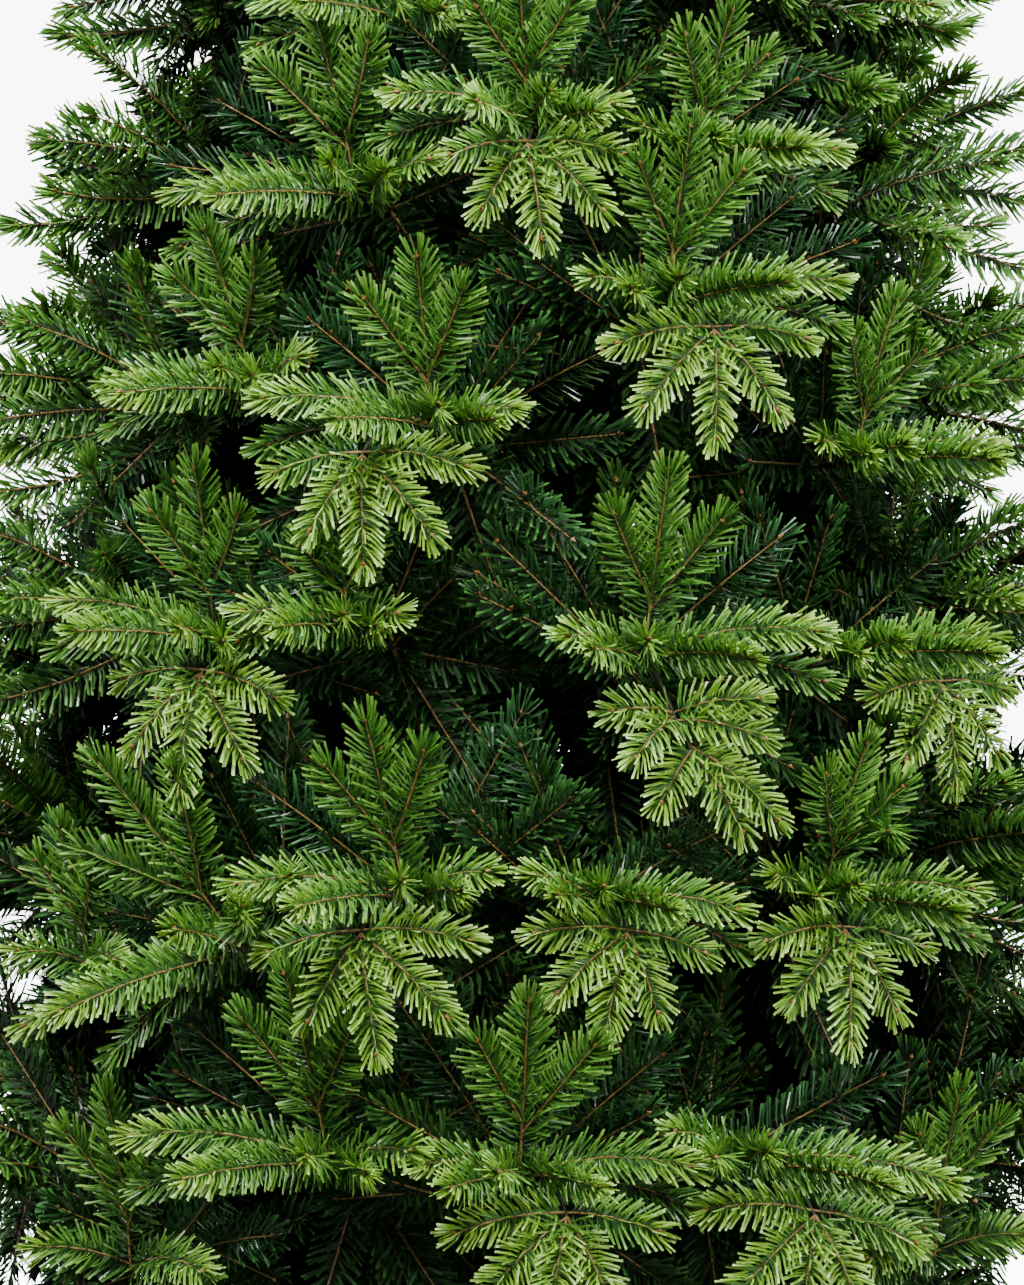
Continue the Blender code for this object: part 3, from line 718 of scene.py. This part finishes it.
# The other finishes. Patches: cells a metre, detail, and two stops. Roughness: one, or a range over the
# patches. Relief: cells a metre, detail, depth in mm, and strength
looks = {
    # film wound round wire: a dull, fibrous brown with fine ridges across
    "brown film on wire": (1000 / 3, 2.0, ((0.35, "#745426"), (0.65, "#9C8042")), 0.6,
                           1000 / 1.2, 1.0, 0.4, 0.6),
    # on the thick boughs it is nearly black
    "dark film on thick wire": (1000 / 6, 2.0, ((0.35, "#1E2214"), (0.65, "#3A3A20")), 0.7,
                                1000 / 2.5, 1.0, 0.4, 0.6),
    # the buds are of the wire's brown, and a little shinier
    "moulded bud": (1000 / 1.5, 2.0, ((0.35, "#5E3C1C"), (0.65, "#A67A40")), 0.45,
                    1000 / 0.8, 1.0, 0.4, 0.6),
    # baked powder has a fine orange-peel ripple
    "dark green powder coat on steel": (14.0, 4.0, ((0.35, "#1B3322"), (0.7, "#24452D")), (0.38, 0.52),
                                        650.0, 1.0, 0.2, 0.35),
    # rubber is nearly black and matt, with a fine pebbled skin and dust in its hollows
    "moulded black rubber": (60.0, 5.0, ((0.4, "#17181A"), (0.75, "#2E2F30")), 0.72,
                             900.0, 0.0, 0.2, 0.4),
    # plated screws are bright, with faint turning marks and a patchy bluish passivation
    "zinc plate on turned steel": (120.0, 3.0, ((0.35, "#9FA6AC"), (0.7, "#C9CCCB")), (0.24, 0.42),
                                   2500.0, 0.0, 0.1, 0.3),
}


def textured(name, pattern="Noise", metallic=0.0):
    patchScale, patchDetail, stops, roughness, scale, detail, depth, strength = looks[name]
    made, tree, shader, where = newMaterial(name)
    patches = addNode(tree, "ShaderNodeTexNoise", {
        "Vector": where, "Scale": patchScale, "Detail": patchDetail}).outputs[0]
    relief = addNode(tree, "ShaderNodeTex" + pattern, {
        "Vector": where, "Scale": scale, "Detail": detail})
    bump = addNode(tree, "ShaderNodeBump", {
        "Height": relief.outputs[0], "Distance": depth / 1000, "Strength": strength})
    if isinstance(roughness, tuple):
        roughness = addNode(tree, "ShaderNodeMapRange", {
            "Value": patches, "From Min": 0.3, "From Max": 0.7, "To Min": roughness[0],
            "To Max": roughness[1]}).outputs["Result"]
    setInputs(tree, shader, {
        "Base Color": rampOf(tree, patches, stops), "Roughness": roughness, "Metallic": metallic,
        "Normal": bump.outputs["Normal"]})
    return made


# Geometry Nodes: one tree sets a small shape on each point, and one draws tubes along lines
def newNodes(name, inputs):
    tree = bpy.data.node_groups.new(name, "GeometryNodeTree")
    tree.interface.new_socket("Geometry", in_out="INPUT", socket_type="NodeSocketGeometry")
    for label, kind in inputs:
        tree.interface.new_socket(label, in_out="INPUT", socket_type=kind)
    tree.interface.new_socket("Geometry", in_out="OUTPUT", socket_type="NodeSocketGeometry")
    return tree, addNode(tree, "NodeGroupInput").outputs


def finishNodes(tree, geometry, material):
    real = addNode(tree, "GeometryNodeRealizeInstances", {"Geometry": geometry})
    finished = addNode(tree, "GeometryNodeSetMaterial", {"Geometry": real.outputs[0], "Material": material})
    addNode(tree, "NodeGroupOutput", {"Geometry": finished.outputs["Geometry"]})
    return tree


def shapesOnPoints():
    tree, given = newNodes("shapes on points", [
        ("Shape", "NodeSocketObject"), ("Material", "NodeSocketMaterial")])
    shape = addNode(tree, "GeometryNodeObjectInfo", {"Object": given["Shape"], "As Instance": True})
    turn = addNode(tree, "GeometryNodeInputNamedAttribute", {"Name": "turn"}, data_type="QUATERNION")
    size = addNode(tree, "GeometryNodeInputNamedAttribute", {"Name": "size"}, data_type="FLOAT_VECTOR")
    placed = addNode(tree, "GeometryNodeInstanceOnPoints", {
        "Points": given["Geometry"], "Instance": shape.outputs["Geometry"],
        "Rotation": turn.outputs["Attribute"], "Scale": size.outputs["Attribute"]})
    return finishNodes(tree, placed.outputs["Instances"], given["Material"])


def tubesOnLines():
    tree, given = newNodes("tubes on lines", [
        ("Sides", "NodeSocketInt"), ("Material", "NodeSocketMaterial")])
    curves = addNode(tree, "GeometryNodeMeshToCurve", {"Mesh": given["Geometry"]})
    radius = addNode(tree, "GeometryNodeInputNamedAttribute", {"Name": "radius"}, data_type="FLOAT")
    ring = addNode(tree, "GeometryNodeCurvePrimitiveCircle", {"Resolution": given["Sides"], "Radius": 1.0})
    tube = addNode(tree, "GeometryNodeCurveToMesh", {
        "Curve": curves.outputs["Curve"], "Profile Curve": ring.outputs["Curve"],
        "Scale": radius.outputs["Attribute"], "Fill Caps": True})
    return finishNodes(tree, tube.outputs["Mesh"], given["Material"])


def runNodes(obj, tree, values, spent):
    modifier = obj.modifiers.new("nodes", "NODES")
    modifier.node_group = tree
    for item in tree.interface.items_tree:
        if item.in_out == "INPUT" and item.name in values:
            modifier[item.identifier] = values[item.name]
    bpy.context.view_layer.update()
    made = bpy.data.meshes.new_from_object(obj.evaluated_get(bpy.context.evaluated_depsgraph_get()))
    obj.modifiers.remove(modifier)
    points = obj.data
    obj.data = made
    bpy.data.meshes.remove(points)
    for name in spent:
        if name in made.attributes:
            made.attributes.remove(made.attributes[name])


attributeKinds = {"turn": "QUATERNION", "size": "FLOAT_VECTOR"}  # the others are plain numbers


def meshObject(name, verts, edges, faces, **attributes):
    mesh = bpy.data.meshes.new(name)
    mesh.from_pydata(verts, edges, faces)
    for label, values in attributes.items():
        kind = attributeKinds.get(label, "FLOAT")
        field = "vector" if kind == "FLOAT_VECTOR" else "value"
        attribute = mesh.attributes.new(label, kind, "POINT")
        attribute.data.foreach_set(field, np.asarray(values, dtype=np.float32).ravel())
    return newObject(name, mesh)


def needleShapes():
    # blunt needles along +Z that bend towards +X: one folded along its middle, a flat one, a plain
    # coarse one, and one that is widest at the twig and closes the spray along its middle
    half, depth, length, bend = needle["width"] / 2, needle["depth"], needle["length"], needle["bend"]
    folded = meshObject("foldedNeedle", [
        (0, 0, 0), (-bend - half, 0, length * 0.36), (-bend, -depth, length * 0.34),
        (-bend + half, 0, length * 0.36), (-half * 0.85, -depth * 0.3, length),
        (half * 0.85, -depth * 0.3, length),
    ], [], [(0, 2, 1), (0, 3, 2), (1, 2, 4), (2, 5, 4), (2, 3, 5)], along=[0, 0.4, 0.4, 0.4, 1, 1])
    flat = meshObject("flatNeedle", [
        (0, 0, 0), (-bend - half, -depth, length * 0.36), (-bend + half, -depth, length * 0.36),
        (half * 0.85, 0, length), (-half * 0.85, 0, length),
    ], [], [(0, 2, 1), (1, 2, 3), (1, 3, 4)], along=[0, 0.4, 0.4, 1, 1])
    half = needle["coarseWidth"] / 2
    verts = [(0, 0, 0), (half, 0, needle["coarseLength"]), (-half, 0, needle["coarseLength"])]
    coarse = meshObject("coarseNeedle", verts, [], [(0, 1, 2)], along=[0, 0.8, 0.8])
    half = needle["underWidth"] / 2
    verts = [(half, 0, 0), (0, 0, length), (-half, 0, 0)]
    wide = meshObject("wideNeedle", verts, [], [(0, 1, 2)], along=[0.2, 0.7, 0.2])
    return folded, flat, coarse, wide


def budShape():
    ring = [(math.cos(a), math.sin(a), 0.4) for a in (0, math.pi / 2, math.pi, 3 * math.pi / 2)]
    faces = [(0, 1 + (i + 1) % 4, 1 + i) for i in range(4)]
    faces += [(1 + i, 1 + (i + 1) % 4, 5) for i in range(4)]
    return meshObject("budShape", [(0, 0, -0.6), *ring, (0, 0, 2.2)], [], faces)


# Pieces: needles, twigs and buds are joined, each kind and each shade apart, a few tiers together
tierGroups = [("foot", (0, 1)), ("lower", (2, 3)), ("middle", (4, 5)), ("upper", (6, 7, 8, 9, 10, 11))]


def groupOf(node):
    tier = len(tiers) if node == leader["node"] else int(node[12:14]) - 1
    return next(name for name, members in tierGroups if tier in members)


def membersOf(group, things):
    return [thing for thing in things if groupOf(thing["node"]) == group]


def finishPiece(obj, nodes):
    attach(obj, "root")
    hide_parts(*nodes)


def growPiece(obj, group, tree, values, spent):
    runNodes(obj, tree, values, spent)
    finishPiece(obj, sorted({spray["node"] for spray in membersOf(group, sprays)}))


def makeNeedles():
    tree = shapesOnPoints()
    folded, flat, coarse, wide = needleShapes()
    # kinds of spray, kind of needles where it isn't the spray's own, shape, a word for the pieces' names,
    # and the colour of each shade. Inside the crown the colours are darker, as painted shade. Most fine
    # sprays have wide needles on their under side too, coloured darker as painted shade
    layers = [
        (("near", "dark", "edge", "outer"), None, folded, "", ("pale", "fresh", "mid", "deep", "blue")),
        (("inner",), None, flat, "inner_", ("pale", "shaded", "shaded", "dull", "dull")),
        (("coarse",), None, coarse, "", ("inside",) * 5),
        (("middle",), None, wide, "middle_", ("shaded", "shaded", "shaded", "inside", "inside")),
        (("near", "edge", "outer", "inner"), "under", wide, "under_",
         ("shaded", "shaded", "inside", "inside", "inside")),
    ]
    finishes = {name: mouldedPolyethylene(name, colours) for name, colours in needleColours.items()}
    total = 0
    for group, _ in tierGroups:
        numbers = np.random.default_rng(11)
        for kinds, kind, shape, word, colourOf in layers:
            members = [s for s in membersOf(group, sprays) if s["kind"] in kinds]
            if not members:
                continue
            parts = [needlesOf(s, numbers, kind or s["kind"]) for s in members]
            points, turns, sizes, shade, tones = [np.concatenate(column) for column in zip(*parts)]
            colour = np.array(colourOf)[shade]
            for name in needleColours:
                mask = colour == name
                if not mask.any():
                    continue
                obj = meshObject(f"needles_{group}_{word}{name}", points[mask].tolist(), [], [],
                                 turn=quaternions(turns[mask]), size=sizes[mask], tone=tones[mask])
                values = {"Shape": shape, "Material": finishes[name]}
                growPiece(obj, group, tree, values, ["turn", "size"])
                total += len(obj.data.polygons)
                print(obj.name, len(obj.data.polygons), "triangles")
    for shape in (folded, flat, coarse, wide):
        bpy.data.objects.remove(shape)
    print("needles made:", total, "triangles")


twig = {"thick": 0.0012, "thin": 0.0006}
bud = {"radius": 0.0021, "lift": 0.0014}  # a bud sits on the side of the twig that faces out


def lineObject(name, lines):
    verts, edges, radii = [], [], []
    for line, thick, thin in lines:
        start = len(verts)
        verts += [tuple(point) for point in line]
        edges += [(start + i, start + i + 1) for i in range(len(line) - 1)]
        radii += list(np.linspace(thick, thin, len(line)))
    return meshObject(name, verts, edges, [], radius=radii)


def makeTwigs():
    tree = tubesOnLines()
    twigFilm, boughFilm = textured("brown film on wire"), textured("dark film on thick wire")
    for group, _ in tierGroups:
        twigs = [(s["line"], twig["thick"], twig["thin"]) for s in membersOf(group, sprays)]
        boughs = [(s["line"], s["thick"], s["thin"]) for s in membersOf(group, limbs)]
        for word, lines, sides, film in (("twigs", twigs, 3, twigFilm), ("boughs", boughs, 7, boughFilm)):
            obj = lineObject(f"{word}_{group}", lines)
            growPiece(obj, group, tree, {"Sides": sides, "Material": film}, ["radius"])
        print(f"twigs and boughs {group} made")


def makeBuds():
    tree = shapesOnPoints()
    shape = budShape()
    finish = textured("moulded bud")
    for group, _ in tierGroups:
        chosen = [s for s in membersOf(group, sprays) if s["kind"] not in ("middle", "coarse")]
        points = [list(s["line"][-1] + s["facing"] * bud["lift"]) for s in chosen]
        turns = [list((s["line"][-1] - s["line"][-2]).to_track_quat("Z", "Y")) for s in chosen]
        sizes = np.full((len(chosen), 3), bud["radius"])
        obj = meshObject(f"buds_{group}", points, [], [], turn=turns, size=sizes)
        growPiece(obj, group, tree, {"Shape": shape, "Material": finish}, ["turn", "size"])
    bpy.data.objects.remove(shape)
    print("buds made")


makeNeedles()
makeTwigs()
makeBuds()


# The pole and the stand keep the sizes of their solids, and are rounder, with welds and threads.
# Outlines are lists of (radius, height)
def rounded(corners, radius, steps=3):
    found = [Vector(corners[0])]
    for before, corner, after in zip(corners, corners[1:], corners[2:]):
        corner, before, after = Vector(corner), Vector(before), Vector(after)
        near = min(radius, 0.45 * (before - corner).length, 0.45 * (after - corner).length)
        first = corner + (before - corner).normalized() * near
        last = corner + (after - corner).normalized() * near
        for step in range(steps + 1):
            share = step / steps
            found.append(first * (1 - share) ** 2 + corner * (2 * share * (1 - share)) + last * share**2)
    return found + [Vector(corners[-1])]


def lathe(profile, sides, ripple=None):
    # turns (radius, height) points about Z; ripple gives a radius factor by angle and height
    rings, verts, faces = [], [], []
    for radius, height in profile:
        if radius < 1e-6:
            rings.append([len(verts)])
            verts.append((0, 0, height))
            continue
        start = len(verts)
        for number in range(sides):
            angle = math.tau * number / sides
            reach = radius * (ripple(angle, height) if ripple else 1)
            verts.append((reach * math.cos(angle), reach * math.sin(angle), height))
        rings.append(list(range(start, start + sides)))
    for lower, upper in zip(rings, rings[1:]):
        for i in range(sides):
            j = (i + 1) % sides
            corners = [lower[i % len(lower)], upper[i % len(upper)], upper[j % len(upper)],
                       lower[j % len(lower)]]
            face = tuple(dict.fromkeys(corners))
            if len(face) > 2:
                faces.append(face)
    return verts, faces


def tube(route, radii, sides):
    verts, faces = [], []
    normal = Vector((0, 0, 1)).cross(route[1] - route[0]).normalized()
    for number, (point, radius) in enumerate(zip(route, radii)):
        ahead = route[min(number + 1, len(route) - 1)] - route[max(number - 1, 0)]
        ahead.normalize()
        normal = (normal - ahead * normal.dot(ahead)).normalized()
        across = ahead.cross(normal)
        for i in range(sides):
            angle = math.tau * i / sides
            verts.append(tuple(point + (normal * math.cos(angle) + across * math.sin(angle)) * radius))
        if number:
            a, b = (number - 1) * sides, number * sides
            faces += [(a + i, a + (i + 1) % sides, b + (i + 1) % sides, b + i) for i in range(sides)]
    faces.append(tuple(reversed(range(sides))))
    faces.append(tuple(range(len(verts) - sides, len(verts))))
    return verts, faces


def joinParts(parts):
    verts, faces = [], []
    for partVerts, partFaces in parts:
        start = len(verts)
        verts += [tuple(v) for v in partVerts]
        faces += [tuple(start + i for i in face) for face in partFaces]
    return verts, faces


def moved(part, matrix):
    verts, faces = part
    return [tuple(matrix @ Vector(v)) for v in verts], faces


def solidPiece(name, part, finish, node):
    made = meshObject(name, part[0], [], part[1])
    made.data.shade_smooth()
    made.data.set_sharp_from_angle(angle=math.radians(40))
    made.data.materials.append(finish)
    finishPiece(made, [node])


pole = {
    "radii": (0.016, 0.014, 0.011),
    "joints": (0.72, 1.30),
    "neck": 0.004,
    "top": 1.812,
    "foot": 0.0513,
    "collarHeight": 0.014,
    "sides": 40,
    "weld": (0.0015, 0.003),  # width and height
    "cheek": (0.0042, 0.0016),  # half the width between two hinge cheeks, and thickness
    "cheekOutline": [(-0.004, -0.010), (0.010, -0.010), (0.014, 0), (0.010, 0.010), (-0.004, 0.010)],
}


def makePole(coat):
    radius = pole["radii"][-1]
    profile = [(0.0, pole["top"]), (radius, pole["top"])]
    marks = [(height, pole["radii"][i]) for i, height in enumerate(pole["joints"])]
    marks += [(collarHeight(tier), None) for tier in range(len(tiers))]
    half, wide = pole["collarHeight"] / 2, crown["collarRadius"]
    weldFoot = half + pole["weld"][1]
    for height, wider in sorted(marks, key=lambda mark: -mark[0]):
        if wider is None:
            weld = radius + pole["weld"][0]
            profile += [(radius, height + weldFoot), (weld, height + half), (wide, height + half),
                        (wide, height - half), (weld, height - half), (radius, height - weldFoot)]
        else:
            profile += [(radius, height), (wider, height - pole["neck"] / 2), (wider, height - pole["neck"])]
            radius = wider
    profile += [(radius, pole["foot"]), (0.0, pole["foot"])]
    part = lathe(rounded(profile, 0.0012, 2), pole["sides"])
    solidPiece("pole", part, coat, "trunk_pole")
    # two cheeks at each main bough hold its hinge pin
    halfWidth, thick = pole["cheek"]
    outline = rounded(pole["cheekOutline"], 0.004, 2)
    count = len(outline)
    faces = [(i, (i + 1) % count, count + (i + 1) % count, count + i) for i in range(count)]
    faces += [tuple(reversed(range(count))), tuple(range(count, 2 * count))]
    parts = []
    for ends in endsByMass.values():
        main = ends[len(ends) // 2]
        shift = Matrix.Translation((0, 0, collarHeight(main["tier"])))
        shift = shift @ Matrix.Rotation(main["azimuth"] - math.pi / 2, 4, "Z")
        shift = shift @ Matrix.Translation((wide, 0, 0))
        for aside in (-1, 1):
            low, high = aside * halfWidth - thick / 2, aside * halfWidth + thick / 2
            verts = [(x, low, z) for x, z in outline] + [(x, high, z) for x, z in outline]
            parts.append(moved((verts, faces), shift))
    solidPiece("hinge_cheeks", joinParts(parts), coat, "trunk_pole")
    print("pole made")


stand = {
    "hubRadius": 0.0215, "clearance": 0.0003,
    "hub": [(0.0, 0.051), (0.0172, 0.051), (0.0172, 0.205), (0.0255, 0.205), (0.0255, 0.195),
            (0.0215, 0.195), (0.0215, 0.055), (0.0255, 0.055), (0.0255, 0.045), (0.0, 0.045)],
    "nut": [(0.0035, 0.0205), (0.0035, 0.0272), (0.0075, 0.0272), (0.0078, 0.0205)],
    "bead": [(0.0070, 0.0206), (0.0118, 0.0206), (0.0098, 0.0238), (0.0070, 0.0238)],
    "legRadius": 0.0095, "legRoot": 0.172, "legReach": 0.300, "shoulder": 0.085, "knee": 0.078,
    "bend": 0.035, "shoeRadius": 0.0165, "shoeHeight": 0.034, "shoeRim": 0.013, "shoeFlare": 0.015,
    "ribs": (0.005, 0.010, 0.015), "taperHeight": 0.019, "ribHalf": 0.0012, "ribDepth": 0.0009,
    "sole": 0.008, "screwHeight": 0.115, "screwRadius": 0.003, "screwReach": 0.046,
    "knobRadius": 0.011, "knobThickness": 0.007, "threadPitch": 0.00125,
}


def spoke(first, count, number):
    return math.radians(first + 360 * number / count)


def outwards(azimuth, height):
    turn = place(azimuth, 1, 0).to_track_quat("Z", "Y").to_matrix().to_4x4()
    return Matrix.Translation((0, 0, height)) @ turn


def makeHub(coat):
    s = stand
    # a welded nut at each screw, and a weld bead at each leg
    nut = lathe(rounded(s["nut"], 0.0008, 2), 6)
    bead = lathe(rounded(s["bead"], 0.0016, 3), 32, lambda angle, height: 1 + 0.03 * math.sin(11 * angle))
    parts = [lathe(rounded(s["hub"], 0.0016, 3), 48)]
    parts += [moved(nut, outwards(spoke(90, 3, number), s["screwHeight"])) for number in range(3)]
    parts += [moved(bead, outwards(spoke(45, 4, number), s["legRoot"])) for number in range(4)]
    solidPiece("hub", joinParts(parts), coat, "stand_hub")


def makeLegs(coat, rubber):
    s = stand
    bore = s["legRadius"] + s["clearance"]
    sole, top, rim, wide = s["sole"], s["shoeHeight"], s["shoeRim"], s["shoeRadius"]
    profile = [(0.0, sole), (bore, sole), (bore, top), (rim, top)]
    for height in [top - depth for depth in s["ribs"]]:
        radius = rim + (wide - rim) * (top - height) / s["taperHeight"]
        profile += [(radius, height + s["ribHalf"]), (radius - s["ribDepth"], height),
                    (radius, height - s["ribHalf"])]
    profile += [(wide, s["shoeFlare"] - 0.002), (wide, 0.0), (0.0, 0.0)]
    shoe = lathe(rounded(profile, 0.0007, 2), 40)
    corners = [(s["hubRadius"] + s["clearance"], s["legRoot"]), (s["shoulder"], s["legRoot"]),
               (s["legReach"], s["knee"]), (s["legReach"], sole + s["clearance"])]
    corners = rounded(corners, s["bend"], 10)
    for number in range(4):
        azimuth = spoke(45, 4, number)
        route = [place(azimuth, radius, height) for radius, height in corners]
        leg = tube(route, [s["legRadius"]] * len(route), 24)
        solidPiece(f"leg_{number + 1}", leg, coat, f"stand_leg_{number + 1}")
        foot = moved(shoe, Matrix.Translation(place(azimuth, s["legReach"], 0)))
        solidPiece(f"shoe_{number + 1}", foot, rubber, f"stand_shoe_{number + 1}")


def makeScrews(zinc):
    s = stand
    start, end = pole["radii"][0] + s["clearance"], s["screwReach"]
    top, radius, pitch = end + s["knobThickness"], s["screwRadius"], s["threadPitch"]
    knob = [(0.0, top), (s["knobRadius"], top), (s["knobRadius"], end), (radius, end), (0.0, end)]
    grips = lathe(rounded(knob, 0.0016, 3), 72,
                  lambda angle, height: 1 - 0.035 * (0.5 + 0.5 * math.cos(12 * angle)))
    thread = [(0.0, end + 0.001)]
    for turnNumber in range(int((end - start) / pitch)):
        height = end - pitch * turnNumber
        thread += [(radius, height), (radius * 0.86, height - pitch / 2)]
    thread += [(radius * 0.8, start), (0.0, start)]
    screw = joinParts([grips, lathe(thread, 18)])
    for number in range(3):
        part = moved(screw, outwards(spoke(90, 3, number), s["screwHeight"]))
        solidPiece(f"screw_{number + 1}", part, zinc, f"stand_screw_{number + 1}")


coat = textured("dark green powder coat on steel")
makePole(coat)
makeHub(coat)
makeLegs(coat, textured("moulded black rubber", "Voronoi"))
makeScrews(textured("zinc plate on turned steel", metallic=1.0))
print("stand made")


# Stage: a white studio sweep. The floor pales outwards into a white surround, which only the camera
# sees, so that neither lights the tree.
stage = {"floorRadius": 30, "floor": "#F2F2F0", "whiteFrom": 0.75, "whiteTo": 1.35, "white": 9.0}
world = {"colour": "#FFFFFF", "strength": 0.16}
lights = [  # name, place, size, power
    ("keyLight", (-0.8, -2.6, 3.2), 0.9, 160),
    ("fillLight", (2.6, -2.6, 1.5), 2.2, 72),
    ("topLight", (0.2, -0.9, 3.6), 1.4, 130),
    ("leftLight", (-3.4, 0.5, 2.4), 1.6, 130),
    ("rightLight", (3.4, 0.3, 2.4), 1.6, 130),
    ("backLight", (0.5, 3.6, 2.8), 1.6, 190),
]


def stageObject(name, profile, finish):
    verts, faces = lathe(profile, 64)
    made = meshObject(name, verts, [], faces)
    made.data.materials.append(finish)
    made.visible_diffuse = False
    made.visible_glossy = False
    made.visible_transmission = False
    return made


def makeStage():
    floor, tree, shader, where = newMaterial("matt white studio floor")
    reach = addNode(tree, "ShaderNodeVectorMath", {0: where}, operation="LENGTH").outputs["Value"]
    glow = addNode(tree, "ShaderNodeMapRange", {
        "Value": reach, "From Min": stage["whiteFrom"], "From Max": stage["whiteTo"], "To Min": 0.0,
        "To Max": stage["white"]}, interpolation_type="SMOOTHSTEP")
    setInputs(tree, shader, {
        "Base Color": linear(stage["floor"]), "Roughness": 0.9, "Emission Color": (1, 1, 1, 1),
        "Emission Strength": glow.outputs["Result"]})
    around, tree, shader, _ = newMaterial("white studio surround")
    setInputs(tree, shader, {"Emission Color": (1, 1, 1, 1), "Emission Strength": stage["white"]})
    radius = stage["floorRadius"]
    dome = [(radius * math.cos(a), radius * math.sin(a)) for a in np.linspace(0, math.pi / 2, 9)[:-1]]
    stageObject("floor", [(0.0, 0.0), (1.5, 0.0), (radius, 0.0)], floor)
    stageObject("surround", dome + [(0.0, radius)], around).visible_shadow = False
    sky = bpy.data.worlds.new("studio")
    sky.use_nodes = True
    tree = sky.node_tree
    colours = {"Color": linear(world["colour"]), "Strength": world["strength"]}
    setInputs(tree, tree.nodes["Background"], colours)
    bpy.context.scene.world = sky
    for name, where, size, power in lights:
        data = bpy.data.lights.new(name, "AREA")
        data.size = size
        data.energy = power
        light = newObject(name, data)
        light.location = where
        light.rotation_euler = (Vector((0, 0, 0.8)) - Vector(where)).to_track_quat("-Z", "Y").to_euler()
    print("stage set")


makeStage()
